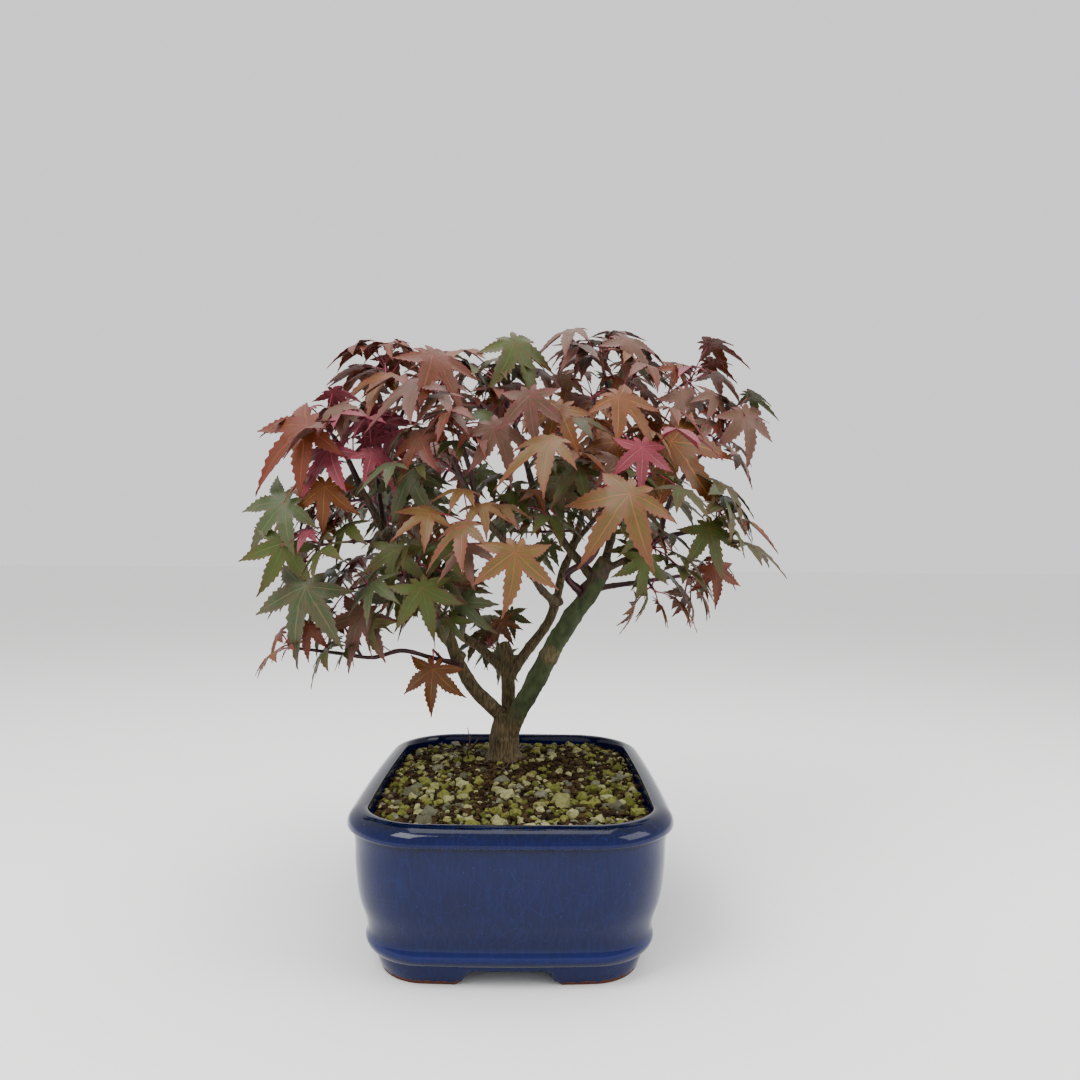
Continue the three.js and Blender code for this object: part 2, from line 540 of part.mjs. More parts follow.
// A prominent leaf, at its own hub. A later attempt draws it a little forward.
function prominentLeaf(seat, [hub, roll, face, length, tone], attempt) {
  const angle = THREE.MathUtils.degToRad(roll);
  const tip = new THREE.Vector3(Math.cos(angle), -0.15, Math.sin(angle));
  const normal = new THREE.Vector3(0, -face, 1.15 - face);
  settle(tip, normal);
  const at = treePoint(hub).add(new THREE.Vector3(0, -3 * attempt, 0.8 * attempt));
  return { base: seat, hub: at, tip, normal, length, tone };
}

// One of a pair of leaves on a shoot. A later attempt swings it round and lengthens its stalk.
function pairedLeaf(shoot, along, side, count, attempt) {
  const base = shoot.curve.getPointAt(along);
  const way = shoot.curve.getTangentAt(along);
  const level = new THREE.Vector3().crossVectors(way, UP).normalize();
  const rise = new THREE.Vector3().crossVectors(level, way);
  const turn = THREE.MathUtils.degToRad(90 * (along < TIP_BUD) + 28 * wander(count, 1) + 33 * attempt);
  const out = level.multiplyScalar(side * Math.cos(turn)).addScaledVector(rise, side * Math.sin(turn));
  const stalk = way.clone().multiplyScalar(0.5).add(out).addScaledVector(UP, 0.3).normalize();
  const length = shoot.length * (1 + 0.16 * wander(count, 2));
  const hub = base.clone().addScaledVector(stalk, length * (0.62 + 0.13 * wander(count, 3) + 0.07 * attempt));
  const outward = hub.clone().sub(CANOPY_CENTRE).normalize();
  const tip = stalk.clone().setZ(0).normalize().multiplyScalar(0.75).addScaledVector(outward, 0.45);
  tip.z -= 0.7 + 0.3 * wander(count, 4);
  const normal = outward.multiplyScalar(0.85).addScaledVector(UP, 0.6);
  settle(tip, normal);
  return { base, hub, tip, normal, length, tone: shoot.tone };
}

const space = [];   // what has been grown so far: owner, kind, solid and box

function claim(owner, kind, solid) {
  const { min, max } = solid.boundingBox();
  space.push({ owner, kind, solid, min, max });
}

function isFree(solid, allowed) {
  const { min, max } = solid.boundingBox();
  return !space.some((other) => !allowed(other)
    && [0, 1, 2].every((k) => min[k] < other.max[k] && max[k] > other.min[k])
    && solid.intersect(other.solid).volume() > 1e-4);
}

const ATTEMPTS = 8;
const TIP_BUD = 0.94;            // where the leaf stalks join a shoot, as a share of its length
const SIDE_BUD = 0.5;

// Grows the first version of a leaf that stays clear of everything already grown.
function growLeaf(shoot, poseAt) {
  for (let attempt = 0; attempt < ATTEMPTS; attempt++) {
    const leaf = poseAt(attempt);
    const blade = bladeSolid(leaf, GAP);
    const stalk = stalkSolid(leaf, GAP);
    const clear = isFree(blade, () => false)
      && isFree(stalk, (other) => other.owner === shoot.name && other.kind !== "blade");
    if (!clear) continue;
    claim(shoot.name, "blade", bladeSolid(leaf, 0));
    claim(shoot.name, "stalk", stalkSolid(leaf, 0));
    return leaf;
  }
  return null;
}

function makeSprays(skeletonSpace) {
  claim("skeleton", "limb", skeletonSpace);
  const shoots = Object.entries(SHOOTS).map(([name, [limb, along, end, tone, length, pairs, ...prominent]]) => {
    const curve = new THREE.LineCurve3(limbCurves[limb].getPointAt(along), treePoint(end));
    const cut = solidOf(tube(curve, TWIG_RADIUS, TWIG_TIP_RADIUS, 4, 1)).subtract(skeletonSpace);
    const twig = cut.decompose().sort((a, b) => b.volume() - a.volume())[0];
    return { name, curve, tone, length, pairs, prominent, twig, leaves: [] };
  });
  for (const shoot of shoots) claim(shoot.name, "twig", shoot.twig);
  for (const shoot of shoots) {
    const seat = shoot.curve.getPointAt(TIP_BUD);
    for (const entry of shoot.prominent) {
      shoot.leaves.push(growLeaf(shoot, (attempt) => prominentLeaf(seat, entry, attempt)));
    }
  }
  let count = 0;
  for (const shoot of shoots) {
    for (let pair = 0; pair < shoot.pairs; pair++) {
      for (const side of [-1, 1]) {
        count += 1;
        const number = count;
        const along = pair === 0 ? TIP_BUD : SIDE_BUD;
        shoot.leaves.push(growLeaf(shoot, (attempt) => pairedLeaf(shoot, along, side, number, attempt)));
      }
    }
    shoot.leaves = shoot.leaves.filter(Boolean);
  }
  return shoots.map((shoot) => {
    const solid = wasm.Manifold.union([shoot.twig, ...shoot.leaves.map(leafSolid)]);
    return { name: "leaves_" + shoot.name, tone: shoot.tone, solid };
  });
}

// ---- Assembly

const assembly = new THREE.Group();

function addPart(name, solid, colour, roughness, metalness = 0) {
  const material = new THREE.MeshStandardMaterial({ color: colour, roughness, metalness });
  const mesh = new THREE.Mesh(geometryOf(solid), material);
  mesh.name = name;
  assembly.add(mesh);
}

const skeletonSpace = makeSkeleton(GAP);
addPart("pot", makePot(), "#1c2e62", 0.15);
addPart("soil", makeSoil(skeletonSpace), "#5b5230", 0.95);
addPart("tree", makeSkeleton(0), "#5f5036", 0.85);
for (const [place, side] of [["front", -1], ["back", 1]]) {
  const y = (side * DRAIN_SPACING) / 2;
  addPart("drainage_mesh_" + place, makeDrainageMesh(y), "#23251f", 0.6);
  addPart("mesh_clip_" + place, makeClip(y), "#6b4a2f", 0.4, 1);
}
for (const { name, tone, solid } of makeSprays(skeletonSpace)) addPart(name, solid, TONES[tone], 0.55);

// The frame's origin is under the middle of the whole, where the pot's feet stand.
const extent = new THREE.Box3().setFromObject(assembly);
const middle = extent.getCenter(new THREE.Vector3());
assembly.position.set(-middle.x, -middle.y, -extent.min.z);

const bonsai = new THREE.Group();
bonsai.add(assembly);
export default bonsai;
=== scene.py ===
# A small Japanese maple grown as a bonsai, in a glazed stoneware pot.
# Lengths are in millimetres from the middle of the pot's foot, with +Z up, and become metres in place().
import math
import random

import bpy
from mathutils import Matrix, Vector, noise
from mathutils.kdtree import KDTree


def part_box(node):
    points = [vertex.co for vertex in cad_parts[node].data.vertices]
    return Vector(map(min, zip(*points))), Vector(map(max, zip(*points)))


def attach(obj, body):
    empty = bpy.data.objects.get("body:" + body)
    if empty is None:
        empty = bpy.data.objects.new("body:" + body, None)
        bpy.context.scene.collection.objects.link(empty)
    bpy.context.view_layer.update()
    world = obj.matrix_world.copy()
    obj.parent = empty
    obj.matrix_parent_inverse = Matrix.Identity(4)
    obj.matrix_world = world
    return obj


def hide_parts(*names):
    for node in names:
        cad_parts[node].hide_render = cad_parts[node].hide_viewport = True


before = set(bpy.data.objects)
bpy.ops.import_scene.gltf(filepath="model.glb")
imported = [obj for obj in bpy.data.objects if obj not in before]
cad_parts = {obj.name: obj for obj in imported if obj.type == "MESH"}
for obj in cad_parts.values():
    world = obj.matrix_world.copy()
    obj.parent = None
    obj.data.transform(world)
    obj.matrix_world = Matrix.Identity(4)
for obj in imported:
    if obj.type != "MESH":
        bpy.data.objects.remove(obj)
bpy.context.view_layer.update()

MM = 0.001
UP = Vector((0, 0, 1))
pot_low, pot_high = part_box("pot")
POT_MIDDLE = Vector(((pot_low[0] + pot_high[0]) / 2, (pot_low[1] + pot_high[1]) / 2, 0))

# ---- Sizes that the pot, the soil and the tree share with the part
POT_WIDTH = 140
POT_DEPTH = 182
CORNER_RADIUS = 34
SIDE_BOW = 0.033             # how far the sides swell between the corners, as a share of the half width
SOIL_LEVEL = 60
FLOOR_LEVEL = 12.8           # top of the pot's floor
FOOT_HEIGHT = 6.8            # under side of the pot's floor
DRAIN_OFFSET = 42            # of each drainage hole, from the middle towards the front or the back
DRAIN_RADIUS = 9
SOIL_INSET = 9.4             # of the pot's inner wall at the soil, from the rim's outer edge
TRUNK = Vector((-6, 39, SOIL_LEVEL))
CANOPY_MIDDLE = TRUNK + Vector((4, -8, 105))


def place(point):
    """A point in millimetres from the middle of the pot, as metres in the frame."""
    return Vector(point) * MM + POT_MIDDLE


# ---- Camera
bpy.ops.object.camera_add(
    location=place((6.74, -409.54, 170.40)),
    rotation=(math.radians(91.28), math.radians(-0.54), math.radians(-0.73)),
)
camera = bpy.context.object
camera.data.lens = 27.56
camera.data.sensor_width = 36
camera.data.clip_start = 0.01
bpy.context.scene.camera = camera


# ---- The tree's layout, as the part has it, from the foot of the trunk at the soil
# Each limb: the radius at its two ends, then the points that it grows through.
LIMBS = {
  "trunk": [8.2, 6.9, [0, 0, -6], [0, 0, 4], [0, 0, 15], [1, 0, 28]],
  "left_limb": [4.2, 1.1, [1, 0, 22], [-6, -2, 30], [-16, -4, 40], [-23, -6, 52], [-26, -7, 58],
    [-31, -9, 71], [-42, -13, 88], [-53, -19, 106], [-62, -25, 124], [-72, -31, 144], [-79, -35, 160],
    [-85, -39, 170]],
  "left_twig": [1.3, 0.8, [-25, -7, 54], [-39, -12, 58], [-53, -18, 62], [-67, -24, 59], [-83, -31, 62],
    [-101, -39, 65]],
  "left_upright": [1.5, 0.9, [-61, -24, 123], [-65, -19, 140], [-67, -14, 156], [-61, -9, 175],
    [-55, -6, 194], [-62, -5, 204]],
  "middle_limb": [4.1, 3.5, [2, 2, 22], [2, 5, 33], [1, 7, 50], [0, 8, 59]],
  "middle_left": [2.8, 1.0, [1, 7, 48], [-14, 13, 60], [-32, 19, 72], [-47, 27, 92], [-63, 35, 115],
    [-77, 39, 141]],
  "middle_right": [3.0, 1.1, [2, 7, 46], [14, 11, 62], [24, 13, 76], [28, 15, 87], [31, 19, 101],
    [39, 27, 121], [45, 33, 148], [48, 37, 175], [50, 39, 202]],
  "green_limb": [5.4, 4.6, [4, -2, 21], [14, -6, 40], [25, -11, 62], [34, -15, 78], [47, -19, 97],
    [51, -21, 107]],
  "maroon_shoot": [1.9, 1.2, [40, -17, 93], [32, -25, 102], [44, -31, 111], [49, -36, 121],
    [55, -42, 132], [62, -47, 142], [66, -51, 150]],
  "right_limb": [2.1, 1.0, [42, -17, 95], [51, -21, 104], [67, -27, 113], [77, -31, 120], [93, -35, 125],
    [104, -37, 129]],
  "right_low": [1.7, 0.9, [46, -18, 95], [64, -5, 97], [78, -1, 99], [99, 5, 102]],
  "centre_limb": [2.4, 1.0, [47, -18, 99], [33, -17, 116], [21, -17, 134], [16, -17, 142], [11, -15, 159],
    [5, -13, 178], [-4, -13, 201]],
  "front_limb": [2.2, 1.4, [28, 14, 86], [21, -1, 92], [13, -17, 103], [-1, -35, 120], [-12, -45, 133],
    [-18, -51, 144], [-25, -57, 158]],
  "front_fork": [1.4, 1.0, [-11, -44, 132], [-14, -47, 140], [-16, -49, 151], [-19, -51, 161],
    [-22, -53, 170]],
  "right_upright": [2.4, 1.0, [51, -20, 104], [57, -9, 126], [62, -1, 148], [61, 7, 174], [58, 11, 193],
    [53, 13, 218]],
  "right_high": [1.5, 0.9, [78, -31, 120], [84, -25, 139], [93, -19, 154], [101, -15, 164],
    [113, -13, 176]],
  "crown_right": [1.4, 0.9, [61, 7, 172], [73, 13, 186], [87, 17, 201], [99, 17, 210]],
  "back_right": [1.8, 1.0, [38, 26, 119], [54, 46, 138], [64, 60, 158], [68, 70, 178]],
  "back_left": [1.8, 1.0, [-46, 26, 91], [-54, 46, 112], [-50, 62, 138], [-40, 70, 164]],
}

# Roots that show at the soil and run down into it.
ROOTS = [[17, -9, -7], [-15, -12, -7], [-18, 8, -7], [6, 18, -7], [19, 9, -8]]

# Each leafy shoot: its limb, how far along that limb it starts, its tip, its tone, the length of its leaves,
# how many pairs of leaves it carries, and its prominent leaves: hub, direction of the middle lobe in degrees,
# how far it faces the front, length and tone.
SHOOTS = {
  "low_left_end": ["left_twig", 1, [-105, -41, 67], "rust", 15, 1,
    [[-95, -43, 76], 265, 0.8, 17, "rust"]],
  "low_left_middle": ["left_twig", 0.62, [-76, -33, 69], "olive", 22, 2],
  "left_low": ["left_limb", 0.55, [-79, -35, 93], "grey_green", 25, 2,
    [[-94, -51, 96], 250, 0.8, 38, "grey_green"], [[-69, -39, 82], 245, 0.9, 29, "mauve"]],
  "left_outer": ["left_limb", 0.66, [-92, -39, 116], "olive", 22, 2,
    [[-104, -47, 115], 250, 0.8, 28, "olive"], [[-92, -52, 121], 200, 0.5, 15, "rose"]],
  "left_high": ["left_limb", 0.8, [-90, -39, 134], "orange", 23, 2,
    [[-104, -47, 134], 225, 0.7, 31, "grey_green"], [[-86, -35, 140], 268, 0.7, 25, "orange"]],
  "left_tip": ["left_limb", 1, [-88, -43, 174], "rose", 24, 2,
    [[-83, -53, 162], 238, 0.5, 29, "rose"], [[-93, -57, 172], 215, 0.5, 38, "rust"]],
  "left_inner": ["left_limb", 0.93, [-65, -41, 166], "rose", 21, 2,
    [[-63, -55, 160], 315, 0.4, 22, "rose"]],
  "left_face": ["left_limb", 0.62, [-45, -39, 106], "olive", 20, 2,
    [[-52, -47, 114], 262, 0.6, 25, "olive"]],
  "left_under": ["left_limb", 0.47, [-34, -31, 89], "olive", 20, 1,
    [[-38, -57, 96], 288, 0.8, 27, "olive"]],
  "hanging": ["left_twig", 0.1, [-37, -19, 63], "orange", 16, 0,
    [[-36, -21, 53], 262, 0.9, 26, "orange"]],
  "left_middle": ["left_upright", 0.35, [-52, -31, 141], "olive", 21, 2,
    [[-46, -41, 151], 242, 0.7, 29, "grey_green"]],
  "left_top": ["left_upright", 1, [-67, -1, 216], "rust", 24, 2,
    [[-61, -31, 202], 200, 0.4, 31, "orange"]],
  "left_crown": ["left_upright", 0.82, [-35, -35, 192], "rust", 24, 2,
    [[-39, -69, 191], 216, 0.4, 33, "mauve"], [[-33, -49, 199], 310, 0.3, 34, "rust"]],
  "left_shoulder": ["left_upright", 0.6, [-75, -17, 186], "mauve", 22, 2,
    [[-80, -33, 183], 222, 0.4, 23, "mauve"]],
  "front_cut": ["front_limb", 0.9, [-36, -62, 160], "olive", 20, 1,
    [[-38, -67, 166], 242, 0.5, 24, "rust"]],
  "front_tip": ["front_fork", 1, [-19, -57, 174], "mauve", 22, 2,
    [[-4, -67, 171], 300, 0.5, 28, "mauve"], [[-10, -49, 180], 320, 0.5, 24, "grey_green"]],
  "front_low": ["front_limb", 0.66, [-18, -73, 127], "salmon", 20, 1,
    [[-15, -93, 124], 214, 0.5, 25, "salmon"]],
  "front_star": ["front_limb", 0.5, [5, -83, 118], "salmon", 18, 0,
    [[7, -109, 113], 266, 0.8, 27, "salmon"]],
  "centre_low": ["centre_limb", 0.4, [10, -33, 136], "olive", 19, 1,
    [[6, -37, 142], 300, 0.5, 21, "olive"]],
  "centre_left": ["centre_limb", 0.72, [-15, -25, 190], "orange", 22, 2],
  "centre_top": ["centre_limb", 1, [-5, -13, 205], "olive", 24, 1,
    [[-20, -27, 217], 190, 0.2, 33, "orange"], [[4, -33, 219], 302, 0.5, 34, "olive"]],
  "centre_face": ["centre_limb", 0.6, [24, -51, 170], "orange", 22, 1,
    [[26, -71, 179], 240, 0.5, 27, "orange"], [[22, -83, 160], 205, 0.4, 31, "salmon"],
    [[12, -57, 178], 275, 0.5, 24, "mauve"]],
  "maroon_tip": ["maroon_shoot", 1, [66, -57, 152], "salmon", 22, 1,
    [[62, -85, 160], 272, 0.3, 22, "rose"], [[76, -83, 169], 350, 0.2, 24, "rose"]],
  "maroon_side": ["maroon_shoot", 0.5, [45, -62, 145], "olive", 21, 1,
    [[55, -100, 138], 230, 0.6, 37, "salmon"]],
  "right_face": ["right_upright", 0.6, [55, -37, 178], "orange", 22, 2,
    [[53, -69, 185], 315, 0.5, 31, "orange"]],
  "right_top": ["right_upright", 1, [51, 11, 222], "mauve", 25, 2,
    [[35, -17, 231], 200, 0.3, 26, "mauve"], [[62, -15, 226], 318, 0.4, 30, "mauve"]],
  "right_crown": ["right_upright", 0.8, [70, -5, 212], "orange", 23, 2],
  "right_shoulder": ["crown_right", 1, [102, 11, 210], "rust", 23, 2,
    [[100, 1, 216], 185, 0.2, 22, "rose"], [[91, -25, 195], 300, 0.5, 27, "mauve"]],
  "right_end": ["right_high", 1, [114, -17, 177], "mauve", 22, 2,
    [[122, -29, 185], 286, 0.5, 28, "mauve"]],
  "right_hanging": ["right_high", 0.5, [74, -40, 168], "orange", 22, 1,
    [[80, -55, 167], 310, 0.6, 42, "orange"]],
  "right_out": ["right_limb", 1, [107, -39, 130], "olive", 24, 2,
    [[99, -51, 126], 290, 0.6, 26, "olive"]],
  "right_inner": ["right_limb", 0.55, [73, -43, 116], "olive", 20, 2,
    [[68, -53, 111], 266, 0.5, 21, "olive"]],
  "low_right_end": ["right_low", 1, [102, 5, 100], "rust", 20, 2,
    [[110, -15, 106], 280, 0.6, 21, "rust"]],
  "low_right": ["right_low", 0.6, [80, -9, 93], "olive", 19, 2],
  "right_middle": ["right_upright", 0.35, [80, 7, 143], "olive", 22, 2],
  "centre_right": ["centre_limb", 0.32, [31, -27, 140], "olive", 20, 1,
    [[28, -43, 146], 262, 0.5, 21, "olive"]],
  "middle_face": ["middle_right", 0.66, [33, 13, 156], "olive", 20, 1,
    [[32, 1, 161], 272, 0.5, 19, "olive"]],
  "stub_shoot": ["middle_left", 0.15, [-5, 31, 63], "olive", 17, 2,
    [[2, 27, 79], 280, 0.6, 17, "olive"]],
  "back_left_tip": ["middle_left", 1, [-81, 41, 144], "olive", 23, 2],
  "back_left_low": ["middle_left", 0.6, [-69, 45, 100], "olive", 22, 2],
  "back_left_in": ["middle_left", 0.42, [-36, 39, 96], "olive", 20, 2],
  "back_left_up": ["middle_left", 0.8, [-58, 27, 138], "grey_green", 22, 2],
  "far_left_tip": ["back_left", 1, [-36, 74, 168], "rust", 24, 2],
  "far_left_low": ["back_left", 0.6, [-66, 68, 132], "olive", 22, 2],
  "far_left_up": ["back_left", 0.9, [-62, 50, 168], "mauve", 23, 2],
  "far_right_tip": ["back_right", 1, [70, 74, 182], "rust", 24, 2],
  "far_right_low": ["back_right", 0.5, [80, 44, 142], "olive", 23, 2],
  "far_right_in": ["back_right", 0.8, [42, 68, 162], "olive", 23, 2],
  "back_right_top": ["middle_right", 1, [50, 42, 207], "orange", 24, 2],
  "back_right_in": ["middle_right", 0.8, [24, 45, 176], "olive", 22, 2],
  "back_middle": ["middle_right", 0.55, [4, 47, 126], "olive", 22, 2],
  "back_centre": ["centre_limb", 0.8, [8, 15, 194], "rust", 23, 2],
}

# ---- Colour and materials

def linear(colour):
    """An sRGB hex colour as linear red, green, blue and alpha."""
    parts = [int(colour[i:i + 2], 16) / 255 for i in (1, 3, 5)]
    return [*(c / 12.92 if c <= 0.04045 else ((c + 0.055) / 1.055) ** 2.4 for c in parts), 1.0]


def add(tree, kind, settings=None, inputs=None, stops=None):
    """Adds a node and returns its outputs. Its inputs, by name or in order, are links, values or hex colours."""
    made = tree.nodes.new("ShaderNode" + kind)
    for name, value in (settings or {}).items():
        setattr(made, name, value)
    named = inputs if isinstance(inputs, dict) else dict(enumerate(inputs or ()))
    for name, value in named.items():
        if isinstance(value, bpy.types.NodeSocket):
            tree.links.new(value, made.inputs[name])
        else:
            made.inputs[name].default_value = linear(value) if isinstance(value, str) else value
    if stops:
        ramp = made.color_ramp.elements
        while len(ramp) < len(stops):
            ramp.new(0.5)
        for element, (position, colour) in zip(ramp, stops):
            element.position = position
            element.color = linear(colour)
    return made.outputs


def start_material(name, **values):
    """A material with only its shader: the values go on the shader's own sockets."""
    material = bpy.data.materials.new(name)
    material.use_nodes = True
    for socket, value in values.items():
        material.node_tree.nodes["Principled BSDF"].inputs[socket.replace("_", " ")].default_value = value
    return material, material.node_tree


def surface(material, colour, roughness=None, relief=None, depth=0.0, strength=1.0):
    """Gives the shader its colour, its roughness, and its relief to a depth in millimetres."""
    tree = material.node_tree
    shader = tree.nodes["Principled BSDF"]
    tree.links.new(colour, shader.inputs["Base Color"])
    if roughness is not None:
        tree.links.new(roughness, shader.inputs["Roughness"])
    if relief is not None:
        raised = add(tree, "Bump", {}, {"Height": relief, "Distance": depth * MM, "Strength": strength})
        tree.links.new(raised[0], shader.inputs["Normal"])
    return material


def grain(tree, width, height=None, detail=4.0, shape="Noise", **settings):
    """The value of a pattern whose features are about width across and height tall, in millimetres."""
    where = add(tree, "TexCoord")["Object"]
    scale = (1 / (width * MM), 1 / (width * MM), 1 / ((height or width) * MM))
    spread = add(tree, "Mapping", {}, {"Vector": where, "Scale": scale})[0]
    fineness = {"Detail": detail} if shape == "Noise" else {}
    return add(tree, "Tex" + shape, settings, {"Vector": spread, "Scale": 1.0, **fineness})[0]


def layer(tree, under, over, pattern, low=0.0, high=1.0, least=0.0, most=1.0):
    """One colour laid over another: its least share where the pattern is at low, its most where it is at high."""
    share = add(tree, "MapRange", {}, (pattern, low, high, least, most))[0]
    return add(tree, "Mix", {"data_type": "RGBA"}, {0: share, 6: under, 7: over})[2]


# Stoneware dipped in cobalt glaze and fired: glassy, streaked where the glaze ran, finely crazed, with bare brown
# clay under the feet. The ramp goes up the wall to GLAZE_TOP and is painted darker in the grooves about the lower
# roll and in the undercut under the rim, as painted shade.
GLAZE_TOP = 70
# Painted shade: the darker stops at 0.145, 0.25 and 0.83 lie in the grooves about the lower roll and in the
# undercut under the rim.
GLAZE_WITH_GROOVE_SHADE = [(0.0, "#040c34"), (0.115, "#050e3a"), (0.145, "#020418"), (0.185, "#04104a"), (0.25, "#030a30"),
         (0.31, "#040c34"), (0.62, "#040d37"), (0.80, "#050f38"), (0.83, "#020414"), (0.85, "#030b3c"),
         (0.885, "#020830"), (0.93, "#020518"), (1.0, "#03061a")]


def cobalt_glaze():
    material, tree = start_material(
        "fired_cobalt_glaze", IOR=1.5, Specular_IOR_Level=0.2, Coat_Weight=0.06, Coat_Roughness=0.03)
    metres_up = add(tree, "SeparateXYZ", {}, (add(tree, "TexCoord")["Object"],))["Z"]
    height = add(tree, "Math", {"operation": "MULTIPLY"}, (metres_up, 1 / MM))[0]
    share = add(tree, "MapRange", {}, (height, 0, GLAZE_TOP))[0]
    runs, clouds = grain(tree, 1.3, 9, 6), grain(tree, 14, 22, 3)
    crazing = grain(tree, 6, 11, shape="Voronoi", feature="DISTANCE_TO_EDGE")
    # The height ramp, with its painted shade in the grooves and under the rim.
    colour = add(tree, "ValToRGB", {}, (share,), GLAZE_WITH_GROOVE_SHADE)[0]
    colour = layer(tree, colour, "#08184c", runs, 0.42, 0.72, 0, 0.4)
    colour = layer(tree, colour, "#030a30", clouds, 0.52, 0.72, 0, 0.5)
    colour = layer(tree, colour, "#1a2f70", crazing, 0, 0.025, 0.12, 0)
    colour = layer(tree, colour, "#203a7a", grain(tree, 0.9, detail=2), 0.70, 0.76, 0, 0.4)
    # Chips show the clay along the shoulder of the rim.
    on_rim = add(tree, "MapRange", {}, (height, 61.5, 63.5))[0]
    off_rim = add(tree, "MapRange", {}, (height, 64.4, 64.9, 1, 0))[0]
    band = add(tree, "Math", {"operation": "MULTIPLY"}, (on_rim, off_rim))[0]
    chips = add(tree, "MapRange", {}, (grain(tree, 2.2, 1.6, 3), 0.70, 0.74))[0]
    worn = add(tree, "Math", {"operation": "MULTIPLY"}, (band, chips))[0]
    colour = layer(tree, colour, "#6a3416", worn)
    # The glaze ends in an uneven line, 1 to 2.2 mm above the ground.
    clay = layer(tree, "#3a1c0f", "#5a3220", grain(tree, 0.8, detail=5))
    edge = add(tree, "MapRange", {}, (grain(tree, 3, detail=2), 0.3, 0.7, 1.0, 2.2))[0]
    past_edge = add(tree, "Math", {"operation": "SUBTRACT"}, (height, edge))[0]
    glazed = add(tree, "MapRange", {}, (past_edge, -0.05, 0.15))[0]
    haze = add(tree, "MapRange", {}, (clouds, 0.3, 0.7, 0.06, 0.13))[0]
    bare = add(tree, "MapRange", {}, (glazed, 0, 1, 0.85, 0))[0]
    roughness = add(tree, "Math", {"operation": "MAXIMUM"}, (haze, bare))[0]
    return surface(material, layer(tree, clay, colour, glazed), roughness, grain(tree, 5, 8, 3), 0.12, 0.5)


# Crushed pumice: matt, full of open pores that are painted darker as painted shade, some of it stained by moss
# and damp.
def crushed_pumice(name, pale, deep, stain):
    material, tree = start_material(name, Roughness=0.95, Specular_IOR_Level=0.2)
    own = add(tree, "Attribute", {"attribute_name": "tint"})["Fac"]
    pores_with_shade = grain(tree, 0.45, shape="Voronoi")
    colour = layer(tree, deep, pale, own)
    colour = layer(tree, colour, stain, grain(tree, 1.6), 0.45, 0.68, 0, 0.75)
    # Painted shade: darker in the pores.
    colour = layer(tree, colour, "#262211", pores_with_shade, 0.05, 0.42, 0.55, 0)
    return surface(material, colour, None, pores_with_shade, 0.25, 0.8)


# Fired clay and bark crumbs: dark, dry and dull.
def soil_crumb(name, dark, light):
    material, tree = start_material(name, Roughness=1.0, Specular_IOR_Level=0.1)
    own = add(tree, "Attribute", {"attribute_name": "tint"})["Fac"]
    fine = grain(tree, 0.7, detail=5)
    colour = layer(tree, layer(tree, dark, light, fine, 0.3, 0.7), light, own, 0, 1, 0, 0.45)
    return surface(material, colour, None, fine, 0.3, 0.8)


# Maple bark: old wood is tan-grey, streaked along the limb and finely fissured; young wood is smooth, green
# or maroon; pruning cuts are dry and pale.
def maple_bark():
    material, tree = start_material("growing_maple_bark", Specular_IOR_Level=0.35)
    age = add(tree, "Attribute", {"attribute_name": "bark"})["Color"]
    shares = add(tree, "SeparateColor", {}, (age,))
    fissures, patches = grain(tree, 0.9, 5.5, 6), grain(tree, 4.5, 7)
    dots = grain(tree, 0.8, 1.2, shape="Voronoi")
    old = layer(tree, "#20180d", "#5d4d30", fissures, 0.32, 0.66)
    old = layer(tree, old, "#3d3b17", patches, 0.55, 0.75, 0, 0.6)
    green = layer(tree, "#252d16", "#3c4726", patches, 0.35, 0.68)
    green = layer(tree, green, "#473b21", fissures, 0.56, 0.70, 0, 0.7)
    young = layer(tree, "#1b090c", "#3d0f1c", patches, 0.3, 0.7)
    young = layer(tree, young, "#5f452d", dots, 0.10, 0.22, 0.55, 0)
    cut = layer(tree, "#4a3c23", "#7d704f", fissures, 0.3, 0.7)
    colour = layer(tree, old, green, shares["Red"])
    colour = layer(tree, colour, young, shares["Green"])
    colour = layer(tree, colour, cut, shares["Blue"])
    roughness = add(tree, "MapRange", {}, (shares["Green"], 0, 1, 0.82, 0.42))[0]
    return surface(material, colour, roughness, fissures, 0.45, 0.8)


# A leaf stalk or this year's twig: smooth waxy skin, crimson with lighter lengths.
def stalk_skin(name, deep, bright):
    material, tree = start_material(name, Roughness=0.38, Specular_IOR_Level=0.45)
    colour = layer(tree, deep, bright, grain(tree, 5, 7, 3), 0.35, 0.65)
    return surface(material, colour, None, grain(tree, 0.5, 1.5, 2), 0.05, 0.5)


# A maple leaf blade: a thin waxy skin with a faint lavender bloom, a pale midrib in each lobe and side veins
# slanting to the teeth, deeper between the veins and redder at the margin. The blade's own UV map runs
# across each lobe and along it.
SIDE_VEINS = 8


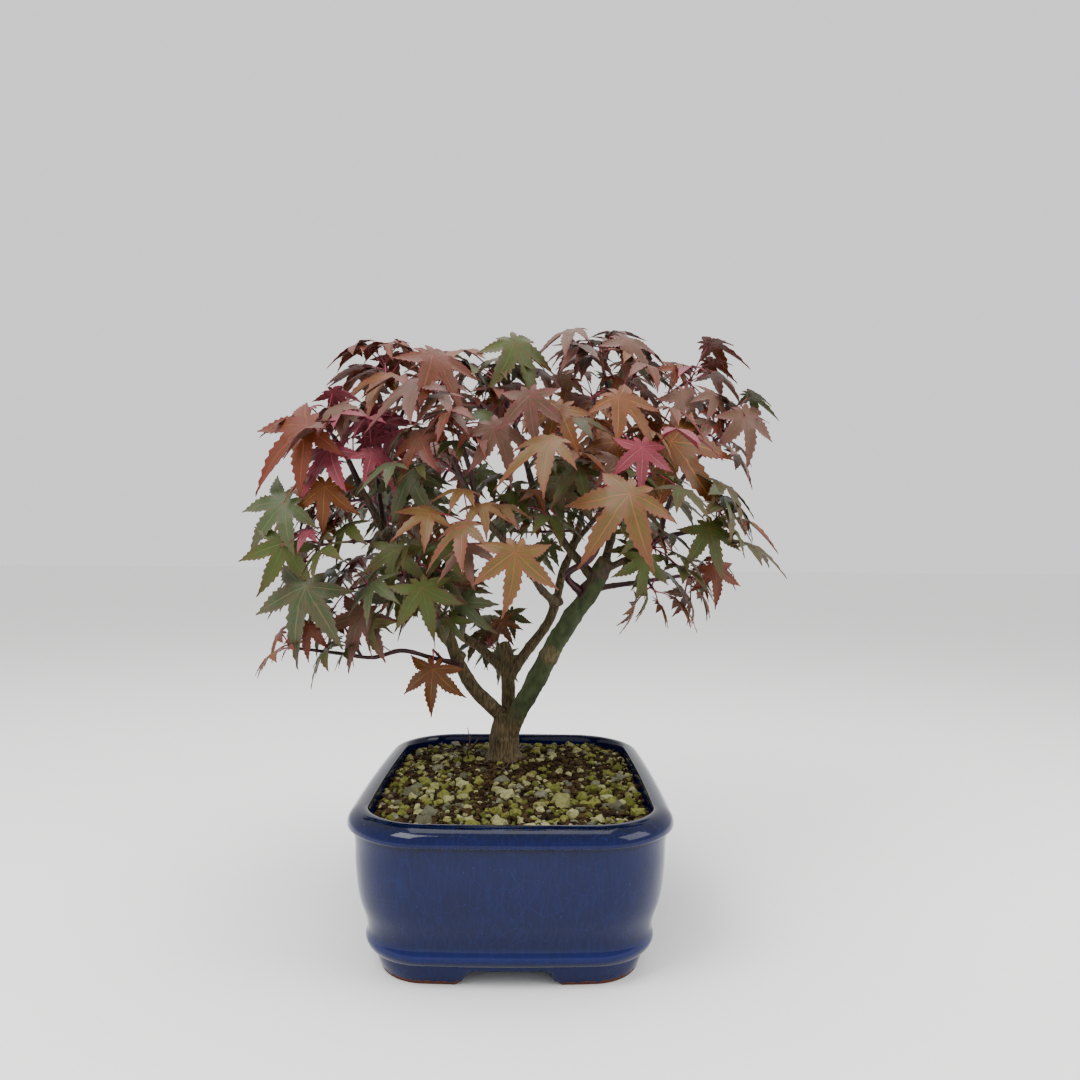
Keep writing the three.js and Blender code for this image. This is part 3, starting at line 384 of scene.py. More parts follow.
def leaf_blade(name, body, deep, vein, margin):
    material, tree = start_material(
        name, Roughness=0.48, Specular_IOR_Level=0.3, Sheen_Weight=0.05, Sheen_Roughness=0.4,
        Sheen_Tint=linear("#d8d0e6"))
    own = add(tree, "Attribute", {"attribute_name": "tint"})["Fac"]
    spot = add(tree, "SeparateXYZ", {}, (add(tree, "UVMap", {"uv_map": "UVMap"})[0],))
    from_middle = add(tree, "Math", {"operation": "SUBTRACT"}, (spot["X"], 0.5))[0]
    off_middle = add(tree, "Math", {"operation": "ABSOLUTE"}, (from_middle,))[0]
    blotches = grain(tree, 5)
    shift = add(tree, "Math", {"operation": "MULTIPLY_ADD"}, (own, 0.7, -0.35))[0]
    depth = add(tree, "Math", {"operation": "ADD"}, (shift, blotches))[0]
    flushed = add(tree, "MapRange", {}, (blotches, 0.35, 0.6))[0]
    reddened = add(tree, "Math", {"operation": "MULTIPLY"}, (own, flushed))[0]
    colour = layer(tree, body, deep, depth, 0.3, 0.75)
    colour = layer(tree, colour, margin, reddened, 0.2, 1, 0, 0.6)
    colour = layer(tree, colour, margin, off_middle, 0.2, 0.5, 0, 0.5)
    colour = layer(tree, colour, margin, spot["Y"], 0.35, 1, 0, 0.55)
    slant = add(tree, "Math", {"operation": "MULTIPLY_ADD"}, (off_middle, -0.55, spot["Y"]))[0]
    turns = add(tree, "Math", {"operation": "MULTIPLY"}, (slant, SIDE_VEINS * 2 * math.pi))[0]
    wave = add(tree, "Math", {"operation": "SINE"}, (turns,))[0]
    side_vein = add(tree, "MapRange", {}, (wave, 0.86, 1, 0, 0.22))[0]
    midrib = add(tree, "MapRange", {}, (off_middle, 0.012, 0.055, 0.7, 0))[0]
    veins = add(tree, "Math", {"operation": "MAXIMUM"}, (midrib, side_vein))[0]
    return surface(material, layer(tree, colour, vein, veins), None, veins, 0.2, 0.6)


# Extruded black plastic mesh, dulled by soil.
def mesh_plastic():
    material, tree = start_material("extruded_mesh_plastic", IOR=1.5)
    dust = grain(tree, 2.5)
    roughness = add(tree, "MapRange", {}, (dust, 0.3, 0.7, 0.45, 0.8))[0]
    return surface(material, layer(tree, "#1c1d19", "#4a4230", dust, 0.4, 0.75), roughness)


# Drawn aluminium wire, anodised brown, with fine draw lines.
def wire_metal():
    material, tree = start_material("anodised_aluminium_wire", Metallic=1.0)
    lines = grain(tree, 0.3, 3, 2)
    roughness = add(tree, "MapRange", {}, (lines, 0.3, 0.7, 0.28, 0.45))[0]
    return surface(material, layer(tree, "#7a5236", "#96694a", lines), roughness)


# Matt white seamless paper.
def studio_paper():
    material, tree = start_material("seamless_paper", Roughness=0.9, Specular_IOR_Level=0.1)
    return surface(material, layer(tree, "#f4f4f3", "#fafaf9", grain(tree, 1.5, detail=3)))


# ---- Shaping

def select(*pieces):
    """Only these pieces are selected, and the first is active."""
    bpy.ops.object.select_all(action="DESELECT")
    for piece in pieces:
        piece.select_set(True)
    if pieces:
        bpy.context.view_layer.objects.active = pieces[0]


def laid_grid(name, rows):
    """A grid primitive with its rows of vertices laid on the given places."""
    select()
    bpy.ops.mesh.primitive_grid_add(x_subdivisions=len(rows[0]) - 1, y_subdivisions=len(rows) - 1)
    piece = bpy.context.object
    piece.name = name
    for vertex, spot in zip(piece.data.vertices, (spot for row in rows for spot in row)):
        vertex.co = spot
    return piece


def weld(piece, distance=0.01 * MM, outwards=True):
    """Merges doubles and points the faces outwards."""
    select(piece)
    bpy.ops.object.mode_set(mode="EDIT")
    bpy.ops.mesh.select_all(action="SELECT")
    bpy.ops.mesh.remove_doubles(threshold=distance)
    if outwards:
        bpy.ops.mesh.normals_make_consistent(inside=False)
    bpy.ops.object.mode_set(mode="OBJECT")


def skin(name, rings):
    """Closed rings of equal length laid as one skin, welded along its seam. Its ends are single points."""
    piece = laid_grid(name, [[place(point) for point in ring] + [place(ring[0])] for ring in rings])
    weld(piece)
    return piece


def gather(name, pieces):
    """Joins pieces into one, with its origin at the frame's."""
    select(*pieces)
    if len(pieces) > 1:
        bpy.ops.object.join()
    joined = bpy.context.object
    joined.name = name
    return joined


def apply(piece, kind, **settings):
    """Adds a modifier with its settings and applies it."""
    select(piece)
    modifier = piece.modifiers.new(kind.title(), kind)
    for name, value in settings.items():
        setattr(modifier, name, value)
    bpy.ops.object.modifier_apply(modifier=modifier.name)


def smooth(piece, angle=None):
    select(piece)
    if angle is None:
        bpy.ops.object.shade_smooth()
    else:
        bpy.ops.object.shade_smooth_by_angle(angle=math.radians(angle))


def tubes(name, routes, sides=6):
    """Round tubes: each route is a list of points and the radius at each, in millimetres."""
    select()
    bpy.ops.curve.primitive_nurbs_path_add()
    piece = bpy.context.object
    piece.name = name
    path = piece.data
    path.splines.clear()
    path.dimensions = "3D"
    path.bevel_depth = MM
    path.bevel_resolution = max(sides // 2 - 2, 0)
    path.use_fill_caps = True
    for points, radii in routes:
        spline = path.splines.new("POLY")
        spline.points.add(len(points) - 1)
        for spot, point, radius in zip(spline.points, points, radii):
            spot.co = (*place(point), 1)
            spot.radius = radius
    bpy.ops.object.convert(target="MESH")
    return bpy.context.object


def tint(piece, values):
    """One number for each vertex, which the materials read."""
    piece.data.attributes.new("tint", "FLOAT", "POINT").data.foreach_set("value", values)


def dress(piece, *materials):
    piece.data.materials.clear()
    for material in materials:
        piece.data.materials.append(material)


def settle_in(piece, slot, *nodes):
    """The piece rides on the part's one body and stands for its nodes; the slot is not used."""
    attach(piece, "root")
    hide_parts(*nodes)


def smoothstep(low, high, value):
    share = min(max((value - low) / (high - low), 0), 1)
    return share * share * (3 - 2 * share)


# ---- Pot

def plan_ring(inset, height, corner_steps=22, side_steps=26):
    """The pot's plan at a distance in from the rim's outer edge: round corners between swollen sides."""
    half_width = POT_WIDTH / 2 - inset
    half_depth = POT_DEPTH / 2 - inset
    radius = min(max(CORNER_RADIUS - inset, 2), half_width - 0.001)
    ring = []
    corners = [(1, -1, -90), (1, 1, 0), (-1, 1, 90), (-1, -1, 180)]
    for index, (side_x, side_y, start) in enumerate(corners):
        middle = Vector((side_x * (half_width - radius), side_y * (half_depth - radius)))
        for step in range(corner_steps + 1):
            angle = math.radians(start + 90 * step / corner_steps)
            ring.append(middle + radius * Vector((math.cos(angle), math.sin(angle))))
        next_x, next_y, _ = corners[(index + 1) % 4]
        turn = math.radians(start + 90)
        end = Vector((next_x * (half_width - radius), next_y * (half_depth - radius)))
        end += radius * Vector((math.cos(turn), math.sin(turn)))
        begin = ring[-1]
        ring += [begin.lerp(end, step / side_steps) for step in range(1, side_steps)]
    return [Vector((x * (1 - SIDE_BOW * (y / half_depth) ** 2),
                    y * (1 - SIDE_BOW * (x / half_width) ** 2), height)) for x, y in ring]


def catmull(points, index, share):
    """A centripetal Catmull-Rom curve between two of its points, which runs straight on past its ends."""
    before = points[index - 1] if index > 0 else 2 * points[0] - points[1]
    start, end = points[index], points[index + 1]
    after = points[index + 2] if index + 2 < len(points) else 2 * points[-1] - points[-2]
    gaps = [(b - a).length ** 0.5 for a, b in ((before, start), (start, end), (end, after))]
    middle = gaps[1] if gaps[1] > 1e-4 else 1.0
    first = gaps[0] if gaps[0] > 1e-4 else middle
    last = gaps[2] if gaps[2] > 1e-4 else middle
    leave = (start - before) / first - (end - before) / (first + middle) + (end - start) / middle
    arrive = (end - start) / middle - (after - start) / (middle + last) + (after - end) / last
    leave, arrive = leave * middle, arrive * middle
    return (start + leave * share + (-3 * start + 3 * end - 2 * leave - arrive) * share ** 2
            + (2 * start - 2 * end + leave + arrive) * share ** 3)


# The wall from the foot up over the rim and down inside: inset, height, and how many steps follow.
WALL = [
    (12.6, FOOT_HEIGHT, 2), (12.2, 8.6, 3), (9.9, 9.6, 3), (8.3, 12.8, 4), (9.1, 16.4, 3), (8.4, 20.8, 4),
    (5.5, 29.5, 4), (3.7, 43, 3), (3.3, 52.5, 2), (2.6, 56.9, 2), (2.3, 58.0, 3), (0.4, 58.7, 2), (0, 59.6, 3),
    (0.7, 62.4, 3), (3.2, 64.9, 4), (5.6, 65.9, 3), (7.8, 65.9, 3), (8.7, 65.1, 3), (9.4, 58.5, 2),
    (11.6, 30.8, 2), (17.9, 16.8, 2), (21.9, FLOOR_LEVEL, 1)]
# The feet from their inner side round their sole to their outer side: inset, and how far off the ground.
SOLE = [(25.9, 1.0), (25.2, 0.2), (24.4, 0.0), (16.2, 0.0), (15.2, 0.2), (14.7, 1.0)]
ARCH_WIDTHS = (42, 84)       # between the feet, at the front and back and along the sides
ARCH_HEIGHT = 6.6


def foot_height(x, y):
    """Height of the foot's lower edge: on the ground at the corners, lifted in the arches."""
    side = 0 if abs(y) / POT_DEPTH > abs(x) / POT_WIDTH else 1
    width = ARCH_WIDTHS[side]
    along = abs(x) if side == 0 else abs(y)
    return ARCH_HEIGHT * (1 - smoothstep(width / 2 - 7, width / 2 + 0.5, along) ** 0.8)


def foot_ring(inset, lift):
    return [Vector((x, y, max(foot_height(x, y), lift))) for x, y, _ in plan_ring(inset, 0)]


def make_pot():
    wall = [Vector((inset, height, 0)) for inset, height, _ in WALL]
    rings = [[Vector((0, 0, FOOT_HEIGHT))] * len(plan_ring(0, 0)), plan_ring(SOLE[0][0], FOOT_HEIGHT)]
    rings += [foot_ring(inset, lift) for inset, lift in SOLE]
    for index, (_, _, steps) in enumerate(WALL[:-1]):
        for step in range(steps):
            inset, height, _ = catmull(wall, index, step / steps)
            rings.append(plan_ring(inset, height))
    rings += [plan_ring(WALL[-1][0], FLOOR_LEVEL), [Vector((0, 0, FLOOR_LEVEL))] * len(rings[0])]
    pot = skin("glazed_pot", rings)
    for side in (-1, 1):
        select()
        bpy.ops.mesh.primitive_cylinder_add(vertices=48, radius=DRAIN_RADIUS * MM, depth=20 * MM,
                                            location=place((0, side * DRAIN_OFFSET, 10)))
        drill = bpy.context.object
        apply(pot, "BOOLEAN", object=drill, operation="DIFFERENCE", solver="EXACT")
        bpy.data.objects.remove(drill)
    dress(pot, cobalt_glaze())
    smooth(pot, 38)
    settle_in(pot, "glaze", "pot")


# ---- Soil

def soil_height(x, y):
    mound = 2.2 * math.exp(-((math.hypot(x - TRUNK.x, y - TRUNK.y) / 34) ** 2))
    return SOIL_LEVEL + mound + 0.5 * math.sin(x * 0.31 + y * 0.17) * math.cos(y * 0.23 - x * 0.11)


def inside_pot(x, y, inset):
    """Whether a point lies inside the pot's plan at a distance in from the rim's outer edge."""
    half_width = POT_WIDTH / 2 - inset
    half_depth = POT_DEPTH / 2 - inset
    radius = CORNER_RADIUS - inset
    x = abs(x / (1 - SIDE_BOW * (y / half_depth) ** 2))
    y = abs(y / (1 - SIDE_BOW * (x / half_width) ** 2))
    if x > half_width or y > half_depth:
        return False
    past_x, past_y = x - half_width + radius, y - half_depth + radius
    return past_x < 0 or past_y < 0 or math.hypot(past_x, past_y) < radius


# The soil against the pot's inner wall: inset and height. Its top is in rings further and further in.
BED_WALL = [(22.4, 13.3), (18.4, 17), (12.1, 31), (9.9, 57.5), (9.8, 59.3)]
BED_TOP = (11, *range(14, 59, 4))
BED_DROP = 0.6               # of the bed under the grains that lie on it


def make_bed():
    walls = [plan_ring(inset, height, 20, 28) for inset, height in BED_WALL]
    rings = [[Vector((0, 0, BED_WALL[0][1]))] * len(walls[0]), *walls]
    for inset in BED_TOP:
        rings.append([
            Vector((x, y, soil_height(x, y) - BED_DROP + 0.9 * noise.noise(Vector((x, y, 3)) * 0.4)))
            for x, y, _ in plan_ring(inset, 0, 20, 28)])
    rings.append([Vector((0, 0, soil_height(0, 0) - BED_DROP))] * len(walls[0]))
    bed = skin("soil_bed", rings)
    tint(bed, [0.2] * len(bed.data.vertices))
    dress(bed, soil_crumb("packed_soil_bed", "#140e08", "#2c1f12"))
    smooth(bed, 60)
    settle_in(bed, "soil", "soil")


def grain_shapes(prefix, count, roundness, faces, rough):
    """A few different broken grains, each about one millimetre across."""
    shapes = []
    for number in range(count):
        select()
        bpy.ops.mesh.primitive_ico_sphere_add(subdivisions=faces, radius=0.5)
        shape = bpy.context.object
        shape.name = f"{prefix}_{number}"
        for vertex in shape.data.vertices:
            swell = noise.noise(vertex.co * roundness + Vector((7 * number, 3, 1)))
            vertex.co *= 1 + rough * swell * (1.5 if swell < 0 else 1)
            vertex.co.x *= 1.15
            vertex.co.z *= 0.8
        shapes.append(shape)
    return shapes


def spread(shapes, spots, name, material, chance):
    """Copies of the shapes laid at their spots and joined: each spot is a place, a size and a tint."""
    copies = []
    for point, size, shade in spots:
        copy = chance.choice(shapes).copy()
        copy.data = copy.data.copy()
        turn = Matrix.Rotation(chance.uniform(0, 6.28), 4, "Z")
        turn = turn @ Matrix.Rotation(chance.uniform(-0.6, 0.6), 4, "X")
        copy.data.transform(Matrix.Translation(place(point)) @ turn @ Matrix.Scale(size * MM, 4))
        tint(copy, [shade] * len(copy.data.vertices))
        bpy.context.collection.objects.link(copy)
        copies.append(copy)
    joined = gather(name, copies)
    dress(joined, material)
    smooth(joined, 35)
    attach(joined, "root")


def make_gravel():
    """Pumice, laid first and further apart, then crumbs between it."""
    chance = random.Random(21)
    cells = {}
    spots = {"cream": [], "grey": [], "moss": [], "dark": [], "brown": []}

    def lay_grains(size, kind_at, tries, spacing):
        for _ in range(tries):
            x, y = chance.uniform(-62, 62), chance.uniform(-83, 83)
            across = size(x, y)
            if not inside_pot(x, y, SOIL_INSET + 0.42 * across):
                continue
            if math.hypot(x - TRUNK.x, y - TRUNK.y) < 8.5 + 0.4 * across:
                continue
            kind = kind_at(x, y)
            if kind is None:
                continue
            column, row = int(x // 6), int(y // 6)
            near = [other for dx in (-1, 0, 1) for dy in (-1, 0, 1)
                    for other in cells.get((column + dx, row + dy), [])]
            if any(math.hypot(x - ox, y - oy) < spacing * (across + width) / 2 for ox, oy, width in near):
                continue
            cells.setdefault((column, row), []).append((x, y, across))
            lift = 0.16 * across + chance.uniform(-0.3, 0.5)
            spots[kind].append((Vector((x, y, soil_height(x, y) + lift)), across, chance.random()))

    def pumice_kind(x, y):
        crumbs = math.exp(-((x - 18) / 26) ** 2 - ((y - 22) / 26) ** 2) + 0.8 * math.exp(
            -((math.hypot(x - TRUNK.x, y - TRUNK.y) / 24) ** 2))
        crumbs += 0.5 * noise.noise(Vector((x, y, 9)) * 0.06)
        if chance.random() < min(0.85, 0.12 + 0.75 * crumbs):
            return None
        return chance.choices(["cream", "moss", "grey"], [0.36, 0.46, 0.18])[0]

    def pumice_size(x, y):
        return (1.7 + 4.2 * chance.random() ** 2.2) * (1 + 0.2 * (y < 0))

    def crumb_kind(x, y):
        return chance.choice(["dark", "brown"])

    def crumb_size(x, y):
        return chance.uniform(1.1, 3.2)

    lay_grains(pumice_size, pumice_kind, 2700, 0.9)
    lay_grains(crumb_size, crumb_kind, 14000, 0.58)
    stones = grain_shapes("stone", 5, 2.3, 2, 0.62)
    crumbs = grain_shapes("crumb", 4, 1.5, 1, 0.6)
    for kind, name, *colours in (("cream", "cream", "#98946c", "#6e6a42", "#62652a"),
                                 ("moss", "mossy", "#757438", "#4a4c1a", "#3c4210"),
                                 ("grey", "grey", "#6f6d5e", "#484638", "#45481f")):
        material = crushed_pumice(f"crushed_{name}_pumice", *colours)
        spread(stones, spots[kind], "pumice_" + name, material, chance)
    for kind, made_of, *colours in (("dark", "bark", "#120c07", "#2c1f12"),
                                    ("brown", "clay", "#241a0e", "#443420")):
        material = soil_crumb(f"{kind}_{made_of}_crumb", *colours)
        spread(crumbs, spots[kind], "crumbs_" + kind, material, chance)
    for shape in stones + crumbs:
        bpy.data.objects.remove(shape)


def make_rootlets():
    """Thin dry twigs and rootlets left of the trunk; one stands up."""
    chance = random.Random(5)
    routes = [([(-24, 30, 61), (-25, 29, 68), (-23.5, 28, 75), (-25, 28, 81)], [0.5, 0.42, 0.35, 0.2]),
              ([(-24.6, 29, 69), (-21, 27, 73), (-19, 26, 76)], [0.35, 0.3, 0.2])]
    for _ in range(16):
        x, y = chance.uniform(-46, 4), chance.uniform(8, 60)
        heading = chance.uniform(0, math.pi)
        points = []
        for step in range(6):
            points.append(Vector((x, y, soil_height(x, y) + 1.7 + 1.2 * math.sin(step * 1.3 + x))))
            heading += chance.uniform(-0.5, 0.5)
            x, y = x + 3.2 * math.cos(heading), y + 3.2 * math.sin(heading)
        routes.append((points, [0.42, 0.4, 0.36, 0.32, 0.26, 0.18]))
    rootlets = tubes("rootlets", routes)
    dress(rootlets, stalk_skin("dry_rootlet_skin", "#2a1c10", "#4a3622"))
    smooth(rootlets)
    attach(rootlets, "root")


# ---- Limbs

class Route:
    """A limb's centre line, followed by its own length."""

    def __init__(self, points):
        self.points = points
        pieces = 200
        self.marks = [self.at_turn(i / pieces) for i in range(pieces + 1)]
        self.lengths = [0.0]
        for a, b in zip(self.marks, self.marks[1:]):
            self.lengths.append(self.lengths[-1] + (b - a).length)

    def at_turn(self, turn):
        spot = turn * (len(self.points) - 1)
        index = min(int(spot), len(self.points) - 2)
        return catmull(self.points, index, spot - index)

    def at(self, along):
        wanted = along * self.lengths[-1]
        index = min(sum(1 for length in self.lengths[1:] if length <= wanted), len(self.marks) - 2)
        share = (wanted - self.lengths[index]) / (self.lengths[index + 1] - self.lengths[index])
        return self.at_turn((index + share) / (len(self.marks) - 1))

    @property
    def length(self):
        return self.lengths[-1]


def tree_point(point):
    return Vector(point) + TRUNK


limb_routes = {name: Route([tree_point(point) for point in points])
               for name, (_, _, *points) in LIMBS.items()}

# How the bark of each limb starts: shares of green and of young maroon skin.
BARKS = {"green_limb": (1.0, 0.0), "middle_limb": (0.15, 0.0), "centre_limb": (0.45, 0.25),
         "right_limb": (0.3, 0.45), "right_upright": (0.35, 0.2), "maroon_shoot": (0.0, 1.0),
         "left_twig": (0.1, 0.8), "right_low": (0.1, 0.8)}
STOUT = 3.5                  # a limb that starts wider than this is a stout one

# Where the main limbs' wood begins, deep in the trunk, in the tree's frame.
FROM_TRUNK = {"green_limb": (0.6, 0, 6), "left_limb": (0.4, 0, 9), "middle_limb": (0.6, 0.6, 8)}

# Old pruning stubs and scarred knuckles: centre line from and to, in the tree's frame, the radii at its two
# ends, and the share of cut wood.
STUBS = [
    ((49, -20, 103), (53, -22, 110.5), 4.9, 4.3, 1.0),
    ((1, 8, 56), (-1, 9, 64.5), 3.9, 3.0, 0.5),
    ((-26, -7, 55), (-21.5, -9.5, 60), 3.4, 2.1, 0.6),
    ((28, 15, 85), (27, 13.0, 90), 4.2, 3.1, 0.35),
    ((24, -10, 58), (24, -14.5, 60), 3.8, 3.1, 0.8),
    ((-6, -2, 30), (-7, -6.0, 32), 3.6, 2.6, 0.3),
    ((-24.2, -56, 156), (-25.5, -57.4, 159.2), 1.7, 1.6, 1.0),
]


def limb_radius(name, along, length):
    """Radius along a limb: its taper, a collar where it leaves older wood, nodes that swell, and slow lumps."""
    start, end = LIMBS[name][:2]
    radius = start + (end - start) * along
    node_gap = 13 if radius > 2 else 10
    to_node = ((along * length) % node_gap) / node_gap
    swelling = math.exp(-((to_node - 0.5) / 0.10) ** 2)
    lump = noise.noise(Vector((along * length * 0.11, 4.7 * len(name), start)))
    collar = 0 if start > STOUT else 0.5 * math.exp(-along * length / (1.3 * start + 1.5))
    return radius * (1 + (0.13 if radius < 3 else 0.06) * swelling + 0.10 * lump + collar)


def make_wood():
    thick, thin = [], []              # routes of the stout limbs and of the slender ones
    samples = []                      # place, shares of green, young skin and cut wood, and radius
    for name, route in limb_routes.items():
        stout = LIMBS[name][0] > STOUT
        if name in FROM_TRUNK:
            route = Route([tree_point(FROM_TRUNK[name])] + route.points)
        steps = max(int(route.length / (0.8 if stout else 1.2)), 8)
        points, radii = [], []
        green, young = BARKS.get(name, (0.0, 0.0))
        for step in range(steps + 1):
            along = step / steps
            radius = limb_radius(name, along, route.length)
            point = route.at(along)
            wobble = min(radius, 2.5) * 0.16
            if 0 < step < steps:
                point = point + wobble * noise.noise_vector(point * 0.09)
            points.append(point)
            radii.append(radius)
            maroon = max(young, 1 - smoothstep(1.15, 2.3, radius))
            greenness = green * (1 - 0.6 * along if name != "green_limb" else 1.0)
            if stout:
                greenness *= smoothstep(20, 34, point.z - SOIL_LEVEL)
            samples.append((point, (greenness * (1 - 0.5 * maroon), maroon, 0.0), radius))
        if name == "trunk":
            radii = [radius + 4.2 * math.exp(-max(point.z - SOIL_LEVEL, 0) / 5.5)
                     for point, radius in zip(points, radii)]
        (thick if stout else thin).append((points, radii))
    for x, y, z in ROOTS:
        root = Route([tree_point(point) for point in
                      ((0.15 * x, 0.15 * y, 5), (0.5 * x, 0.5 * y, 0.2), (x, y, z))])
        points = [root.at(step / 16) for step in range(17)]
        thick.append((points, [4.4 - 2.9 * step / 16 for step in range(17)]))
        samples += [(point, (0.0, 0.0, 0.0), 3) for point in points]
    for start, end, wide, narrow, cut in STUBS:
        start, end = tree_point(start), tree_point(end)
        points = [start.lerp(end, share) for share in (0, 0.2, 0.4, 0.6, 0.8, 0.93, 1, 1)]
        lip = [wide, wide, wide * 0.97, (wide + narrow) / 2,
               narrow * 1.04, narrow, narrow * 0.9, narrow * 0.3]
        thick.append((points, lip))
        samples += [(points[4], (0.0, 0.0, 0.3 * cut), narrow),
                    (end + (end - start).normalized(), (0.0, 0.0, cut), narrow)]
    wood = gather("limbs_and_trunk", [tubes("stout", thick, 30), tubes("slender", thin, 14)])
    nearest = KDTree(len(samples))
    for index, (point, _, _) in enumerate(samples):
        nearest.insert(place(point), index)
    nearest.balance()
    shares = []
    for vertex in wood.data.vertices:
        spot = vertex.co / MM
        near = nearest.find_n(vertex.co, 3)
        green, young, cut = (sum(samples[i][1][k] for _, i, _ in near) / 3 for k in range(3))
        radius = samples[near[0][1]][2]
        furrow = noise.noise(Vector((spot.x * 0.9, spot.y * 0.9, spot.z * 0.16)))
        lump = noise.noise(spot * 0.35)
        depth = 0.34 * smoothstep(1.8, 6, radius)
        vertex.co += vertex.normal * MM * (depth * furrow + 0.5 * depth * lump)
        shares += [green, young, cut, 1.0]
    wood.data.attributes.new("bark", "FLOAT_COLOR", "POINT").data.foreach_set("color", shares)
    dress(wood, maple_bark())
    smooth(wood)
    settle_in(wood, "bark", "tree")


# ---- Leaves

# Blade colours: body, deeper body, veins and margin.
TONES = {
    "olive": ("#364610", "#26330c", "#5a4620", "#52341a"),
    "grey_green": ("#3a4928", "#293a1c", "#645a38", "#52402c"),
    "rose": ("#702c34", "#542229", "#a25459", "#82293c"),
    "mauve": ("#513c28", "#3c331b", "#773e36", "#6c3336"),
    "salmon": ("#59461b", "#464018", "#885032", "#72332a"),
    "orange": ("#5d330a", "#42340a", "#92531b", "#66260c"),
    "rust": ("#58260c", "#40280c", "#7e3e22", "#601a10"),
}
# A leaf's lobes in degrees from its middle, how far each reaches as a share of the leaf, and the notches on its
# two sides, each with its own angle and reach.
NOTCHES = {25: 0.30, 77: 0.25, 128: 0.15, 180: 0.10}
LOBES = [(0, 1.0, -25, 25), (-50, 0.88, -77, -25), (-104, 0.60, -128, -77), (-150, 0.27, -180, -128),
         (50, 0.88, 25, 77), (104, 0.60, 77, 128), (150, 0.27, 128, 180)]
SHORT_LOBE = 0.3             # a lobe that reaches no further has no teeth
LOBE_HALF_WIDTH = 0.105
LOBE_SWELL = 3.5             # how much fuller a lobe is in its middle than a plain point
BLADE_THICKNESS = 0.009
TOOTH_OUT, TOOTH_IN = 1.13, 0.90     # half width at a tooth and between teeth
TOOTH_AHEAD = 0.024          # how far a tooth points to the lobe's tip
TIP_BUD = 0.94               # where the buds sit along a shoot
SIDE_BUD = 0.5
ATTEMPTS = 8                 # poses that the part may have tried for a leaf


def ray(degrees):
    """The way that lies at an angle to the middle lobe, in the blade's plane."""
    turn = math.radians(degrees)
    return Vector((math.cos(turn), math.sin(turn), 0))


def leaf_shape(name, seed, teeth):
    """A maple leaf one unit from hub to tip, its middle lobe along +X and its face up: lobes with toothed
    sides, folded along the midrib, falling and curling to a drawn-out tip."""
    chance = random.Random(seed)
    strips = []
    for angle, reach, *sides in LOBES:
        steps = teeth * 2 if reach > SHORT_LOBE else 2
        ahead = ray(angle)
        left = Vector((-ahead.y, ahead.x, 0))
        reach *= chance.uniform(0.94, 1.03)
        droop = chance.uniform(0.20, 0.46)
        sway = chance.uniform(-0.13, 0.13)
        fold = chance.uniform(0.18, 0.42)
        notches = [ray(side) * NOTCHES[abs(side)] for side in sides]
        start = sum(max(point.dot(ahead), 0.02) for point in notches) / 2
        rows = [[Vector((0, 0, 0))] * 3, [notches[0], ahead * start + Vector((0, 0, -0.02)), notches[1]]]
        for step in range(1, steps + 1):
            share = step / steps
            along = start + (reach - start) * share
            swing = left * sway * reach * share ** 2
            fall = -droop * reach * (along / reach) ** 1.7
            tooth, forward = (TOOTH_OUT, TOOTH_AHEAD * reach) if step % 2 else (TOOTH_IN, 0)
            row = []
            for point, side in zip(notches, (-1, 1)):
                width = min(abs(point.dot(left)), LOBE_HALF_WIDTH) * (1 - share)
                width *= 1 + LOBE_SWELL * share * (1 - share)
                from_start = point.dot(ahead)
                run = from_start + (reach - from_start) * share + forward * (share < 0.95)
                row.append(ahead * run + left * (side * width * tooth) + swing
                           + Vector((0, 0, fall + fold * width)))
            rib = ahead * along + swing + Vector((0, 0, fall))
            rows.append([row[0], rib, row[1]] if step < steps else [rib] * 3)
        strips.append(laid_grid(f"{name}_lobe", rows))
    leaf = gather(name, strips)
    weld(leaf, 0.0005, outwards=False)
    apply(leaf, "SOLIDIFY", thickness=BLADE_THICKNESS, offset=0)
    smooth(leaf, 50)
    return leaf


def wander(count, feature):
    """A number from -1 to 1 that differs from leaf to leaf and from feature to feature."""
    return 2 * (((count * 0.618034 + feature * 0.754878) * (1 + feature * 0.37)) % 1) - 1


def leaf_pose(base, hub, tip, normal, length, tone):
    """Where a leaf stands: the ends of its stalk, the way of its middle lobe, and the way it faces."""
    tip = tip.normalized()
    normal = (normal - tip * normal.dot(tip)).normalized()
    return {"base": base, "hub": hub, "tip": tip, "normal": normal, "length": length, "tone": tone}


def prominent_leaf(seat, entry, attempt):
    hub, roll, face, length, tone = entry
    angle = math.radians(roll)
    at = tree_point(hub) + Vector((0, -3 * attempt, 0.8 * attempt))
    return leaf_pose(seat, at, Vector((math.cos(angle), -0.15, math.sin(angle))),
                     Vector((0, -face, 1.15 - face)), length, tone)


def paired_leaf(start, end, length, tone, along, side, count, attempt):
    base = start.lerp(end, along)
    way = (end - start).normalized()
    level = way.cross(UP).normalized()
    rise = level.cross(way)
    turn = math.radians(90 * (along < TIP_BUD) + 28 * wander(count, 1) + 33 * attempt)
    out = level * side * math.cos(turn) + rise * side * math.sin(turn)
    stalk = (way * 0.5 + out + UP * 0.3).normalized()
    length *= 1 + 0.16 * wander(count, 2)
    hub = base + stalk * length * (0.62 + 0.13 * wander(count, 3) + 0.07 * attempt)
    outward = (hub - CANOPY_MIDDLE).normalized()
    tip = Vector((stalk.x, stalk.y, 0)).normalized() * 0.75 + outward * 0.45
    tip.z -= 0.7 + 0.3 * wander(count, 4)
    return leaf_pose(base, hub, tip, outward * 0.85 + UP * 0.6, length, tone)


